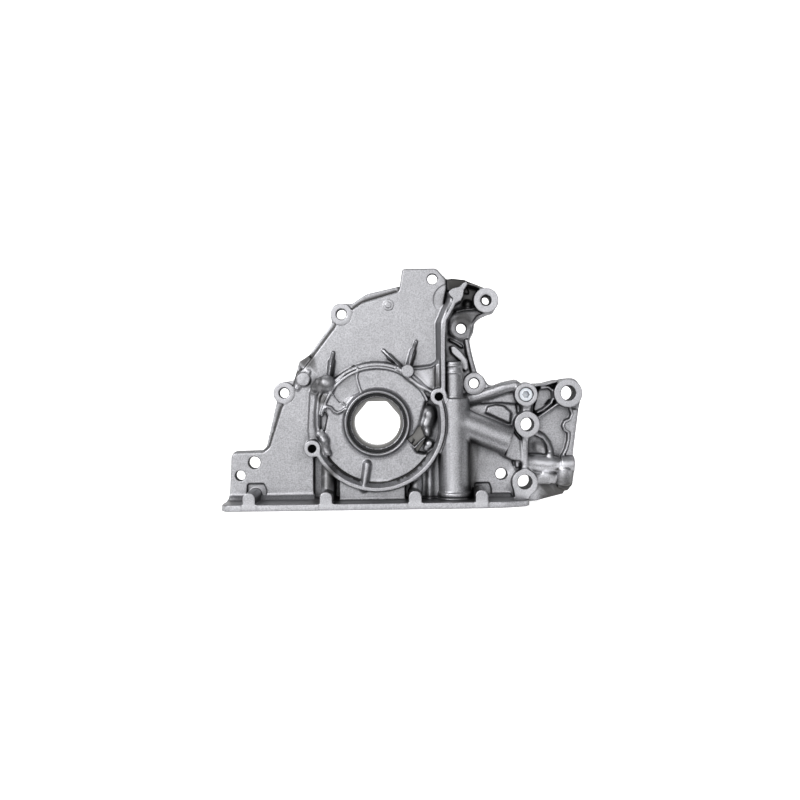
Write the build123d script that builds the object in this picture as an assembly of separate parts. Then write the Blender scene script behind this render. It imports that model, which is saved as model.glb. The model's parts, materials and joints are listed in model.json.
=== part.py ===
from build123d import *
import math
import os

os.makedirs("parts", exist_ok=True)

# ---------------------------------------------------------------- dimensions
# Millimetres. +Z up, +X to the right seen from the front, the front faces -Y.
# Origin: crankshaft axis at the rear face that bolts to the cylinder block.
Y_REAR = 0.0        # block mounting face
Y_RIM = -7.0        # front of the perimeter flange
Y_EAR = -8.0        # machined ear faces
Y_PAN = -12.5       # front of the outer panel and of the left foot plate
Y_FLOOR = -25.0     # front of the pump body inside the ring rib
Y_RING = -31.0      # front of the ring rib, the long rail and the two lugs
Y_SEAL = -33.0      # front of the crank seal boss
Y_BRK = -22.0       # front of the four bracket bosses
Y_TOPB = -16.0      # front of the upper arm boss
Y_SUMP = -48.0      # front edge of the sump flange
WALL = 4.0          # casting wall behind the panel

Z_SUMP = -70.0      # sump gasket face
SUMP_T = 5.5        # sump flange thickness
SUMP_X0, SUMP_X1 = -128.5, 126.0

ECC = 3.2           # gerotor eccentricity
N_IN = 9            # inner rotor teeth
N_OUT = 10          # outer rotor lobes
LOBE_A = 38.2       # circle that the outer lobes sit on
LOBE_B = 8.0        # outer lobe radius
TIP_GAP = 0.06      # relief taken off each profile
ROTOR_Y0, ROTOR_Y1 = -5.0, -19.0
SIDE_GAP = 0.05     # rotor side clearance at each face
OUT_R = 43.6        # outer rotor outside radius
CHAMBER_R = 43.7
BORE_R = 19.3       # inner rotor bore
FLAT_D = 17.8       # distance of the three drive flats from the axis
PLATE_R = 56.0
PLATE_T = 5.0
PLATE_BORE_R = 20.0
SCREW_PCR = 50.4
SCREW_R = 2.0
SCREW_HEAD_R = 3.9
SEAL_R = 25.0       # crank seal seat
SEAL_LEN = 9.0
NECK_R = 21.5

VALVE_X, VALVE_Y = 65.2, -24.0
VALVE_R = 8.0
PISTON_R = 7.96
PISTON_TOP, PISTON_BOT = 4.0, -20.0
VALVE_TRAVEL = 6.0
PLUG_R = 8.6
PLUG_TOP = -57.0

PORT_X, PORT_Z, PORT_R = 113.0, -18.5, 7.0     # delivery port, rear face
SUC_X, SUC_Y, SUC_R = -12.0, -14.5, 7.5         # pick-up port, sump face


# ---------------------------------------------------------------- helpers
def plane(y):
    return Plane(origin=(0, y, 0), x_dir=(1, 0, 0), z_dir=(0, -1, 0))


def rounded(pts):
    """Face of a polygon given as (x, z, corner radius)."""
    n = len(pts)
    arcs = []
    for i in range(n):
        p0, p1, p2 = pts[i - 1], pts[i], pts[(i + 1) % n]
        a = (p0[0] - p1[0], p0[1] - p1[1])
        b = (p2[0] - p1[0], p2[1] - p1[1])
        la, lb = math.hypot(*a), math.hypot(*b)
        ua, ub = (a[0] / la, a[1] / la), (b[0] / lb, b[1] / lb)
        cosang = max(-1.0, min(1.0, ua[0] * ub[0] + ua[1] * ub[1]))
        half = math.acos(cosang) / 2
        r = p1[2] if len(p1) > 2 else 0.0
        if r <= 0 or half > math.pi / 2 - 0.02 or half < 0.02:
            arcs.append((p1[:2], None, p1[:2]))
            continue
        t = min(r / math.tan(half), 0.47 * la, 0.47 * lb)
        r = t * math.tan(half)
        s = (p1[0] + ua[0] * t, p1[1] + ua[1] * t)
        e = (p1[0] + ub[0] * t, p1[1] + ub[1] * t)
        bis = (ua[0] + ub[0], ua[1] + ub[1])
        lbis = math.hypot(*bis)
        d = r / math.sin(half) - r
        m = (p1[0] + bis[0] / lbis * d, p1[1] + bis[1] / lbis * d)
        arcs.append((s, m, e))
    edges = []
    for i in range(n):
        s, m, e = arcs[i]
        if m is not None:
            edges.append(ThreePointArc(s, m, e))
        nxt = arcs[(i + 1) % n][0]
        if math.hypot(nxt[0] - e[0], nxt[1] - e[1]) > 1e-4:
            edges.append(Line(e, nxt))
    return make_face(edges)


def slab(pts, y0, y1):
    return extrude(plane(y0) * rounded(pts), amount=y0 - y1)


def cyl(x, z, r, y0, y1):
    return extrude(plane(y0) * Pos(x, z) * Circle(r), amount=y0 - y1)


def cone(x, z, r0, r1, y0, y1):
    """r0 at y0 (rear), r1 at y1 (front)."""
    ax = Plane(origin=(x, (y0 + y1) / 2, z), x_dir=(1, 0, 0), z_dir=(0, -1, 0))
    return ax * Cone(r0, r1, abs(y0 - y1))


def vcyl(x, y, r, z0, z1):
    return extrude(Plane.XY.offset(z0) * Pos(x, y) * Circle(r), amount=z1 - z0)


def xcyl(y, z, r, x0, x1):
    pl = Plane(origin=(x0, y, z), x_dir=(0, 1, 0), z_dir=(1, 0, 0))
    return extrude(pl * Circle(r), amount=x1 - x0)


def tube(p, q, r):
    """Solid round bar from p to q."""
    v = (Vector(*q) - Vector(*p))
    pl = Plane(origin=p, z_dir=tuple(v.normalized()))
    return extrude(pl * Circle(r), amount=v.length)


def box(x0, x1, y0, y1, z0, z1):
    return Pos((x0 + x1) / 2, (y0 + y1) / 2, (z0 + z1) / 2) * Box(
        abs(x1 - x0), abs(y1 - y0), abs(z1 - z0))


def strip(p, q, w, y0, y1):
    """Straight rib in the XZ plane of width w, rounded ends."""
    dx, dz = q[0] - p[0], q[1] - p[1]
    l = math.hypot(dx, dz)
    nx, nz = -dz / l * w / 2, dx / l * w / 2
    pts = [(p[0] + nx, p[1] + nz, 0), (p[0] - nx, p[1] - nz, 0),
           (q[0] - nx, q[1] - nz, 0), (q[0] + nx, q[1] + nz, 0)]
    return slab(pts, y0, y1) + cyl(p[0], p[1], w / 2, y0, y1) + cyl(q[0], q[1], w / 2, y0, y1)


def ring(x, z, ro, ri, y0, y1):
    return cyl(x, z, ro, y0, y1) - cyl(x, z, ri, y0, y1)


def one(shape, name):
    s = shape.solids()
    if len(s) != 1:
        vols = sorted((round(q.volume, 2) for q in s), reverse=True)
        print(name, "has", len(s), "solids", vols[:6])
    return shape


def save(shape, name):
    export_step(shape, "parts/%s.step" % name)
    print(name, len(shape.solids()), round(shape.volume, 1))


# ---------------------------------------------------------------- outlines
# Outer outline of the casting at the rear (x, z, corner radius).
REAR = [(-128.5, -70, 2), (-126.9, -61.9, 2), (-125.3, -23.8, 5.1), (-98.6, -22.9, 3.4),
        (-95.6, -19.7, 3.4), (-86.5, 18.3, 3.4), (-87.4, 29, 8), (-79.0, 35.6, 6),
        (-71.4, 36.5, 2.6), (-67.1, 50.9, 1.7), (-57.7, 58.5, 1.7), (-38.3, 84.9, 3.4),
        (-39.0, 101.4, 8), (-20.6, 101.8, 3.4), (-8.5, 109.8, 13.7), (21.2, 116.3, 1.7),
        (22.2, 129.9, 2.6), (52.1, 130.2, 6.0), (60.7, 120.7, 1.7), (75.9, 120.9, 2.5),
        (95.5, 112.4, 4), (104.4, 102, 8), (100.5, 91.5, 4), (88, 88.3, 8),
        (82.7, 83.5, 4), (81.9, 77.7, 5), (78.9, 66.6, 2.6), (84.8, 42.5, 2.6),
        (91.7, 36.7, 4), (96.7, 27.9, 6.9), (105.3, 26.6, 12), (115.6, 28.3, 10),
        (127.7, 33.0, 6.9), (135.3, 29.5, 8.6), (157.7, 34.8, 4.3), (171.5, 36.0, 10.3),
        (175.5, 20.6, 10.3), (172.8, 9.5, 12), (167.2, -30.7, 2.6), (165.8, -46.4, 8.6),
        (163.8, -53.8, 4.3), (158.2, -63.4, 1.7), (135.7, -69.4, 5.1), (128, -70, 2)]

# Raised panel with the left foot plate, front at Y_PAN.
PANEL = [(22.7, 129.2, 2.6), (51.9, 129.5, 6.0), (60.4, 120.1, 3.4), (60.8, 113.4, 2.6),
         (58.0, 99.1, 2.6), (58.0, 77.7, 2.6), (60, 22.4, 2.6), (60, 1.1, 2.6),
         (60, -69.9, 1.0), (-127.9, -69.9, 1.7), (-125.3, -23.8, 5.1), (-97.8, -23.6, 4.3),
         (-92.7, -19.8, 4.3), (-82.0, 13.2, 2.6), (-72.4, 28.4, 6.8), (-68.0, 42.8, 5.1),
         (-62.8, 47.0, 5.1), (-55.9, 55.4, 4.3), (-35.5, 81.6, 4.3), (-32.4, 89.2, 6.8),
         (-20.4, 96.7, 3.4), (-11.8, 102.5, 8.5), (19.4, 111.5, 4.3)]

# Long rail from the right lug up to the blob at the upper arm.
RAIL = [(49.6, 20, 0), (53.5, 20, 0), (56.3, 24, 1), (57.1, 72.6, 3), (58.3, 85, 3),
        (64.5, 98.5, 2), (69, 101.5, 3), (73.8, 104.0, 2), (75.8, 112, 2), (77.4, 117.6, 1.2),
        (74.2, 118.9, 1.2), (71.2, 114.3, 2), (64.5, 112.8, 2), (62.9, 108.0, 3),
        (64.0, 102.0, 2), (61.6, 99.0, 3), (55.3, 86.5, 3), (53.4, 81.5, 3), (53.2, 24, 1)]

# Left gallery column inside the ring, right lower face plate, bracket plates.
COLUMN = [(-55, 36, 5), (-46, 40, 5), (-34, 34, 5), (-33.5, 24, 2), (-43, 22, 3), (-43.5, -12, 2),
          (-36.5, -20, 3), (-36.5, -29, 3), (-47, -29, 2), (-56, -26, 3)]
LOWFACE = [(79, -69.9, 1), (79, -28, 3), (104, -28, 3), (110, -36, 4), (112.3, -62, 3), (112.3, -69.9, 1)]
POCKET_L = [(74, 22, 3), (114, 24, 3), (118, 10, 4), (116, -26, 4), (110, -40, 4), (76, -30, 3)]
EDGE_WALL = [(163.5, 12, 1), (165.5, 2.5, 3), (160, -1.5, 3), (157.5, -6, 3), (162, -10.5, 3),
             (161.5, -16, 2), (156.8, -31.5, 3), (150, -33, 1), (150, -62, 3), (158.6, -63, 2),
             (164.2, -53.6, 4), (166.2, -46, 5), (167.4, -30.7, 3), (173, 9.5, 6), (172, 15, 2)]

RIM_W = 7.5         # width of the gasket land behind the rim

# ---------------------------------------------------------------- housing
h = slab(REAR, Y_REAR, Y_RIM)
h += slab(PANEL, Y_REAR, Y_PAN)
h += slab(RAIL, Y_RIM + 1, Y_RING)

# pump body: disc behind the panel, upper disc, lower disc with its ring rib
h += cyl(0, 0, 60.0, Y_REAR, Y_PAN)
h += cyl(0, 0, 51.0, Y_PAN + 1, Y_FLOOR)
LOWER = [(-80, -80, 0), (-80, -29, 0), (-54.3, -20.7, 0), (51.9, 21.2, 0), (80, 32, 0), (80, -80, 0)]
low = slab(LOWER, Y_PAN + 2, Y_RING)
h += cyl(0, 0, 57.3, Y_PAN + 1, Y_FLOOR) & low
h += ring(0, 0, 57.3, 53.6, Y_PAN + 1, Y_RING) & low
h += slab(COLUMN, Y_PAN + 1, -28)

# seal boss, lugs, pad, dome, ribs on the panel
h += cone(0, 0, 29.3, 28.3, Y_FLOOR + 1, Y_SEAL)
h += cyl(-54.3, -20.7, 6.9, Y_PAN + 1, Y_RING)
h += cyl(51.9, 21.2, 6.7, Y_PAN + 1, Y_RING)
h += cyl(26.1, 42.8, 5.5, Y_PAN + 1, -28)
h += cyl(-62.5, 37.9, 6.0, -6, -15)
h += cyl(10.5, 99.7, 4.6, -6, -12.9)
for p, q, w, yf in [((-38.6, 61.5), (-42.0, 43), 3.4, -18), ((5.5, 60.5), (22, 47), 3.4, -18),
                    ((34.5, 70.5), (28.5, 47), 3.4, -18), ((32, 43.5), (52, 45.5), 3.0, -20),
                    ((45.5, -31), (44.2, -66), 4.5, -30), ((-8.5, -33), (-10.6, -52), 4.6, -29)]:
    h += strip(p, q, w, Y_PAN + 1, yf)

# wall under the ring, columns and tapped bosses on the sump flange
h += slab([(-33, -70, 0), (-32.6, -48, 1.6), (23.4, -48, 1.6), (23, -70, 0)], Y_REAR, Y_FLOOR)
BOSS_X = [-104.9, -42.0, 30.8, 85.1]
h += box(SUMP_X0, 110, Y_REAR, Y_SUMP, Z_SUMP, Z_SUMP + SUMP_T)
h += box(100, SUMP_X1, Y_REAR, -41, Z_SUMP, Z_SUMP + SUMP_T)
for bx in BOSS_X:
    h += slab([(bx - 5.3, -70, 0), (bx - 5.3, -54.9, 4.6), (bx + 5.3, -54.9, 4.6), (bx + 5.3, -70, 0)],
              Y_REAR - 4, Y_SUMP)
h += vcyl(-41.5, -30, 6.6, -60, -38)
h += vcyl(31.5, -30, 5.6, -60, -44)

# relief valve tube and diagonal delivery pipe
h += vcyl(VALVE_X, VALVE_Y, 7.0, 16, 50)
h += vcyl(VALVE_X, VALVE_Y, 13.0, -69.9, 18)
h += vcyl(VALVE_X, VALVE_Y, 14.0, -66, -58)
h += tube((VALVE_X, -22, 1.5), (109.5, -22, -17.2), 12.5)
h += box(56, 75, Y_REAR - 2, VALVE_Y, Z_SUMP + 0.1, 48)
h += slab(LOWFACE, Y_REAR, Y_PAN)
h += slab(POCKET_L, Y_REAR, -9)
h += cyl(PORT_X, PORT_Z, 13.5, Y_REAR, -16)
h += cyl(109.5, -17.2, 10.5, Y_REAR, -24)

# upper arm: boss, hole boss and webs
h += cyl(93.6, 102.2, 10.1, Y_REAR, Y_TOPB)
h += cyl(72.6, 79.0, 10.2, Y_REAR, -9)
h += strip((77, 117.5), (92, 110.5), 3.4, Y_RIM + 1, -14)
h += strip((73, 93.5), (88, 94), 3.4, Y_RIM + 1, -12)
h += strip((78, 105), (76, 95), 3.0, Y_RIM + 1, -11)
h += strip((64, 64), (77, 54), 4.0, Y_RIM + 1, -13)

# right bracket: bosses, ribs, edge wall, galleries
BR_A, BR_B, BR_C, BR_D = (125.8, 21.9), (126.3, -3.3), (123.6, -51.7), (161.2, 22.7)
h += cyl(*BR_A, 9.9, Y_REAR, Y_BRK)
h += cyl(*BR_B, 10.9, Y_REAR, Y_BRK)
h += cyl(*BR_C, 10.9, Y_REAR, Y_BRK)
h += cyl(*BR_D, 12.1, Y_REAR, Y_BRK)
h += slab([(113.2, -68, 0), (112.8, -52, 0), (134.4, -52, 0), (133, -68, 0)], Y_REAR, Y_BRK)
h += slab([(122, 12, 0), (122, 6, 0), (130, 6, 0), (130, 12, 0)], Y_REAR, -20)
h += slab([(122.4, -12, 0), (122.0, -42, 0), (126.6, -42, 0), (127.0, -12, 0)], Y_REAR, -20)
h += strip((135, 5), (152.5, 16.5), 3.2, Y_REAR - 1, -19)
h += strip((92, 26.5), (117, 25.5), 3.0, Y_REAR - 1, -18)
h += strip((132, 31), (158, 33.5), 3.0, Y_REAR - 1, -18)
h += strip((96, 17), (117, 13), 3.0, Y_REAR - 1, -16)
h += slab(EDGE_WALL, Y_REAR, -14)
h += xcyl(-12.5, -38.0, 6.8, 124, 158)
h += xcyl(-10.5, -49.5, 5.5, 132, 156)
h += slab([(150, -31, 3), (164.5, -31, 3), (165.6, -46, 3), (163, -54, 3), (157, -61.5, 3), (150, -59, 3)],
          Y_REAR, -21)
qx, qz = 134.0, -29.5
quarter = [(qx + 12.5 * math.cos(math.radians(a)), qz + 20 * math.sin(math.radians(a))) for a in (75, 55, 35, 15, 0)]
for i in range(4):
    h += strip(quarter[i], quarter[i + 1], 3.0, Y_REAR - 1, -13)

# ears
for ex, ez in [(-79.7, 25.8), (-29.8, 92.6), (83.1, 31.9)]:
    h += cyl(ex, ez, 9.4, Y_REAR, Y_EAR)
h -= cyl(-29.8, 92.6, 8.8, Y_EAR, -30)                     # spot face

# ---- front recesses
h -= slab([(-108, -58, 0), (-108, -53.5, 4), (-89.6, -53.5, 4), (-89.6, -60, 0)], -8.5, Y_PAN - 1)
for z0, z1, x0, x1 in [(-64.4, -53, 76.4, 79.7), (-64.4, -53, 90.5, 92)]:
    h -= box(x0, x1, -9, Y_SUMP - 1, z0, z1)
h -= cyl(58.2, 103.0, 3.6, -9, Y_PAN - 0.01)

# ---- rear recesses (open towards the block), kept off lands and bolt bosses
up = slab([(-48, 55, 4), (-24, 84, 6), (-9, 94, 8), (22, 103.5, 4), (28, 122, 4), (40, 122, 3),
           (42, 108, 5), (51, 100, 4), (51, 70, 4), (51, 40, 4), (40, 30, 2), (-30, 30, 2), (-52, 40, 3)],
          0.1, Y_PAN + WALL)
up -= cyl(0, 0, 64.0, 1, -20)
for p, q in [((-25, 60), (-10, 90)), ((12, 62), (16, 100)), ((38, 55), (44, 98)), ((0, 62), (48, 74))]:
    up -= strip(p, q, 3.0, 1, -20)
h -= up
left = slab([(-90, -22, 3), (-80, 8, 3), (-70, 24, 4), (-60, 30, 3), (-50, 30, 2), (-50, -60, 2),
             (-118, -60, 3), (-118, -52, 3), (-96, -50, 6), (-94, -26, 3)], 0.1, Y_PAN + WALL)
left -= cyl(0, 0, 64.0, 1, -20)
left -= cyl(-105.3, -33.0, 10.5, 1, -20)
left -= strip((-90, -20), (-62, -34), 3.0, 1, -20)
left -= strip((-88, -60), (-84, -30), 3.0, 1, -20)
h -= left
arm = slab([(64, 62, 2), (74, 62, 3), (72, 66, 2), (64, 68, 2)], 0.1, -4)
h -= arm
right_in = slab([(84, 20, 3), (112, 20, 3), (113, 2, 3), (98, -3, 3), (84, 4, 3)], 0.1, -5)
h -= right_in
h -= slab([(141, 8, 3), (157, 12, 3), (152, -2, 3), (154, -24, 3), (141, -26, 3)], 0.1, -3.2)

h -= box(20, 57.5, -7.0, 1, 115.5, 140)                      # the tab is a thin plate
h -= slab([(-122, -56, 3), (-92, -56, 3), (-92, -28.5, 4), (-121, -28.5, 4)], 0.1, -3.5)
h -= slab([(86, -62, 3), (109, -62, 3), (107, -36, 4), (98, -32.5, 4), (86, -34, 3)], 0.1, -4.0)
h -= cyl(126.3, -3.3, 8.6, 0.1, -4.5)
h -= cyl(-105.3, -33.0, 7.2, 0.1, -3.5)                    # locating sleeve seats
h -= cyl(-117.4, -43.9, 6.2, 0.1, -3.5)
h -= cyl(104.6, -45.4, 7.0, 0.1, -4.0)

# ---- pump chamber, ports, galleries
h -= cyl(0, 0, PLATE_R + 0.1, 0.1, -PLATE_T)
h -= cyl(0, ECC, CHAMBER_R, -PLATE_T + 0.01, ROTOR_Y1)


def kidney(side):
    """Port in the chamber floor, on the side -1 (suction) or +1 (delivery)."""
    k = (cyl(0, ECC / 2, 37.5, ROTOR_Y1 + 0.01, ROTOR_Y1 - 3) - cyl(0, ECC / 2, 27.5, 0, -40))
    wedge = slab([(side * 8, 34, 0), (side * 60, 60, 0), (side * 60, -60, 0), (side * 8, -30, 0),
                  (side * 5, 0, 0)], 0, -40)
    return k & wedge


h -= kidney(-1)
h -= kidney(1)
h -= vcyl(SUC_X, SUC_Y, SUC_R, Z_SUMP - 0.1, -50)
h -= box(SUC_X - 7, SUC_X + 7, ROTOR_Y1 + 0.01, ROTOR_Y1 - 3, -52, -30)
h -= box(SUC_X - 7, SUC_X + 7, -15.6, -22, -52, -47.5)
h -= xcyl(-20.6, 8.0, 2.6, 33, VALVE_X)
h -= tube((VALVE_X, -22, 1.5), (110.5, -22, -17.6), 6.0)
h -= cyl(PORT_X, PORT_Z, PORT_R, 0.1, -21)
h -= ring(PORT_X, PORT_Z, 11.0, 8.4, 0.1, -2.4)
h -= (vcyl(SUC_X, SUC_Y, 11.3, -70.1, -67.6) - vcyl(SUC_X, SUC_Y, 8.7, -71, -67))

h -= vcyl(VALVE_X, VALVE_Y, VALVE_R, -70.1, 6)
h -= vcyl(VALVE_X, VALVE_Y, PLUG_R, -70.1, -56)
h -= vcyl(VALVE_X, VALVE_Y, 10.8, -70.1, -66.5)
h -= vcyl(VALVE_X, VALVE_Y, 2.5, 5, 44)
h -= vcyl(VALVE_X, VALVE_Y, 4.5, 44, 50.1)
h -= xcyl(-20, -14, 3.0, 44, VALVE_X)
h -= tube((47, -20, -14), (34, -20.5, -12), 2.6)
h -= xcyl(-12.5, -38.0, 3.5, 124, 160)
h -= xcyl(-12.5, -38.0, 6.0, 155, 168)

# ---- crank seal seat and neck
h -= cyl(0, 0, SEAL_R, Y_SEAL - 0.1, Y_SEAL + SEAL_LEN)
h -= cone(0, 0, SEAL_R, SEAL_R + 1.3, Y_SEAL + 1.2, Y_SEAL - 0.1)
h -= cyl(0, 0, NECK_R, -18, Y_SEAL + SEAL_LEN + 0.1)

# ---- bolt holes
HOLES = {
    "tab": (48.4, 121.1, 4.3, 7.0), "arm": (72.6, 79.0, 4.3, 9.0),
    "ear_left": (-79.7, 25.8, 4.25, 8.0), "ear_top": (-29.8, 92.6, 4.25, 8.0),
    "ear_right": (83.1, 31.9, 4.25, 8.0), "foot_large": (-105.3, -33.0, 5.1, 12.5),
    "foot_small": (-117.4, -43.9, 4.25, 12.5), "low_right": (104.6, -45.4, 4.75, 12.5),
    "boss_e": (93.6, 102.2, 3.35, 14.4), "boss_b": (126.3, -3.3, 5.6, 22.0),
    "boss_c": (123.6, -51.7, 6.0, 22.0), "boss_d": (161.2, 22.7, 6.2, 22.0)}
for hx, hz, hr, hl in HOLES.values():
    h -= cyl(hx, hz, hr, 1, -60)
h -= cone(93.6, 102.2, 3.35, 5.15, -14.4, Y_TOPB - 0.2)     # countersink of the tapped hole
h -= cyl(-54.3, -20.7, 3.35, -16, Y_RING - 1)
h -= cyl(51.9, 21.2, 3.35, -16, Y_RING - 1)
for bx in BOSS_X:
    h -= vcyl(bx, -42.0, 2.5, -70.1, -58)
for sx in (SUC_X - 15, SUC_X + 15):
    h -= vcyl(sx, SUC_Y, 2.5, -70.1, -58)

# hex plug seat in bracket boss A
h -= cyl(*BR_A, 5.9, Y_BRK - 0.1, -17)
h -= cyl(*BR_A, 5.0, -6, -17.1)

# cover screws, dowels
SCREW_ANG = [22.5 + 45 * k for k in range(8)]
for a in SCREW_ANG:
    sx, sz = SCREW_PCR * math.cos(math.radians(a)), SCREW_PCR * math.sin(math.radians(a))
    h -= cyl(sx, sz, SCREW_R, -PLATE_T + 0.1, -15)
for a in (0, 180):
    sx = SCREW_PCR * math.cos(math.radians(a))
    h -= cyl(sx, 0, 2.0, -PLATE_T + 0.1, -10)

h = one(h, "pump_housing")
sol = sorted(h.solids(), key=lambda s: s.volume)[-1]
save(sol, "pump_housing")

# ---------------------------------------------------------------- rear cover plate
plate = cyl(0, 0, PLATE_R, 0, -PLATE_T) - cyl(0, 0, PLATE_BORE_R, 1, -10)
for a in SCREW_ANG:
    sx, sz = SCREW_PCR * math.cos(math.radians(a)), SCREW_PCR * math.sin(math.radians(a))
    plate -= cyl(sx, sz, SCREW_R + 0.15, 1, -10)
    plate -= cone(sx, sz, SCREW_HEAD_R + 0.5, SCREW_R + 0.15, 0.2, -2.15)
for a in (0, 180):
    plate -= cyl(SCREW_PCR * math.cos(math.radians(a)), 0, 2.0, 1, -10)
save(one(plate, "rear_cover_plate"), "rear_cover_plate")

# countersunk cover screws with six-lobe style sockets cut as plain hexes
screws = []
for a in SCREW_ANG:
    sx, sz = SCREW_PCR * math.cos(math.radians(a)), SCREW_PCR * math.sin(math.radians(a))
    s = cone(sx, sz, SCREW_HEAD_R, SCREW_R, -0.05, -2.1) + cyl(sx, sz, SCREW_R, -2.0, -14)
    s -= extrude(plane(0.1) * Pos(sx, sz) * RegularPolygon(1.5, 6), amount=1.6)
    screws.append(s.solids()[0])
save(Compound(screws), "cover_screws")

pins = [cyl(SCREW_PCR * math.cos(math.radians(a)), 0, 2.0, -0.3, -10).solids()[0] for a in (0, 180)]
save(Compound(pins), "cover_dowel_pins")


# ---------------------------------------------------------------- rotors
def inner_points():
    """Inner profile: inward parallel of the lobe-centre trochoid."""
    pts = []
    n = N_IN * 24
    for i in range(n):
        t = 2 * math.pi * i / n
        x = LOBE_A * math.cos(t) + ECC * math.cos(N_OUT * t)
        z = LOBE_A * math.sin(t) + ECC * math.sin(N_OUT * t)
        dx = -LOBE_A * math.sin(t) - ECC * N_OUT * math.sin(N_OUT * t)
        dz = LOBE_A * math.cos(t) + ECC * N_OUT * math.cos(N_OUT * t)
        l = math.hypot(dx, dz)
        off = LOBE_B + TIP_GAP
        pts.append((x - dz / l * off, z + dx / l * off))
    return pts


# At rest the outer centre lies ECC above the crank axis and an inner tip points
# straight up at a lobe; the teeth are fully in mesh below the axis.
ROT0 = 90.0
ipts = inner_points()
c0, s0 = math.cos(math.radians(ROT0)), math.sin(math.radians(ROT0))
ipts = [(c0 * x - s0 * z, s0 * x + c0 * z) for x, z in ipts]
inner_face = make_face([Spline(*ipts, periodic=True)])
inner = extrude(plane(ROTOR_Y0 - SIDE_GAP) * inner_face, amount=(ROTOR_Y0 - ROTOR_Y1) - 2 * SIDE_GAP)
bore = Circle(BORE_R)
for ang in (40, 90, 140):
    cut = Rot(0, 0, ang) * Pos(FLAT_D + 10, 0) * Rectangle(20, 60)
    bore -= cut
inner -= extrude(plane(0) * bore, amount=40)
save(one(inner, "inner_rotor"), "inner_rotor")

root_r = LOBE_A - LOBE_B + 2 * ECC + TIP_GAP
hollow = Circle(root_r)
for k in range(N_OUT):
    # one lobe faces the inner tip above the axis, the opposite one fills a root
    a = math.radians(ROT0 + 360 / N_OUT * k)
    hollow -= Pos(LOBE_A * math.cos(a), LOBE_A * math.sin(a)) * Circle(LOBE_B - TIP_GAP)
outer = Circle(OUT_R) - hollow
outer = extrude(plane(ROTOR_Y0 - SIDE_GAP) * Pos(0, ECC) * outer, amount=(ROTOR_Y0 - ROTOR_Y1) - 2 * SIDE_GAP)
save(one(outer, "outer_rotor"), "outer_rotor")

# ---------------------------------------------------------------- relief valve
piston = vcyl(VALVE_X, VALVE_Y, PISTON_R, PISTON_BOT, PISTON_TOP)
piston -= vcyl(VALVE_X, VALVE_Y, 5.9, PISTON_BOT - 1, PISTON_TOP - 4)
piston -= (vcyl(VALVE_X, VALVE_Y, 9, -6, -5) - vcyl(VALVE_X, VALVE_Y, 7.2, -7, -4))
save(one(piston, "relief_piston"), "relief_piston")

SPR_Z0, SPR_Z1, SPR_R, WIRE = PLUG_TOP + 0.0, PISTON_TOP - 4.0, 4.6, 0.9
coil_h = SPR_Z1 - SPR_Z0 - 2 * WIRE - 0.1
helix = Helix(pitch=coil_h / 10, height=coil_h, radius=SPR_R)
prof = Plane(origin=helix @ 0, z_dir=helix % 0) * Circle(WIRE)
spring = Pos(VALVE_X, VALVE_Y, SPR_Z0 + WIRE + 0.05) * sweep(prof, path=helix, is_frenet=True)
save(one(spring, "relief_spring"), "relief_spring")

plug = vcyl(VALVE_X, VALVE_Y, PLUG_R, -66.5, PLUG_TOP) + vcyl(VALVE_X, VALVE_Y, 10.5, -69.6, -67.5)
plug += vcyl(VALVE_X, VALVE_Y, PLUG_R - 0.4, -67.6, -66.4)
plug -= extrude(Plane.XY.offset(-69.7) * Pos(VALVE_X, VALVE_Y) * RegularPolygon(5.2, 6), amount=6)
save(one(plug, "relief_plug"), "relief_plug")
washer = vcyl(VALVE_X, VALVE_Y, 10.6, -67.5, -66.5) - vcyl(VALVE_X, VALVE_Y, PLUG_R - 0.4, -68, -66)
save(one(washer, "relief_plug_washer"), "relief_plug_washer")

cup = vcyl(VALVE_X, VALVE_Y, 4.5, 45.5, 49.5) - vcyl(VALVE_X, VALVE_Y, 3.7, 46.7, 50)
save(one(cup, "gallery_cup_plug"), "gallery_cup_plug")

# ---------------------------------------------------------------- other plugs and seals
ax, az = BR_A
hexplug = cyl(ax, az, 5.0, -8, -16.6) + cyl(ax, az, 5.5, -17.8, -19.6) + cyl(ax, az, 4.8, -16.5, -17.9)
hexplug -= extrude(plane(-13.5) * Pos(ax, az) * RegularPolygon(3.2, 6), amount=8)
save(one(hexplug, "bracket_hex_plug"), "bracket_hex_plug")
hexwash = cyl(ax, az, 5.85, -17.0, -17.8) - cyl(ax, az, 4.8, -16, -19)
save(one(hexwash, "bracket_plug_washer"), "bracket_plug_washer")

gplug = xcyl(-12.5, -38.0, 6.0, 155.2, 164.5)
gplug -= extrude(Plane(origin=(158.5, -12.5, -38.0), x_dir=(0, 1, 0), z_dir=(1, 0, 0)) * RegularPolygon(3.4, 6), amount=8)
save(one(gplug, "side_gallery_plug"), "side_gallery_plug")

oring = Plane(origin=(PORT_X, -1.2, PORT_Z), x_dir=(1, 0, 0), z_dir=(0, -1, 0)) * Torus(9.7, 1.15)
save(one(oring, "delivery_port_seal"), "delivery_port_seal")
suc_ring = Plane(origin=(SUC_X, SUC_Y, -68.8), x_dir=(1, 0, 0), z_dir=(0, 0, 1)) * Torus(10.0, 1.15)
save(one(suc_ring, "pickup_port_seal"), "pickup_port_seal")
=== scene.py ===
import bpy
import json
import math
import numpy as np
import openvdb
from mathutils import Matrix, Vector


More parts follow.
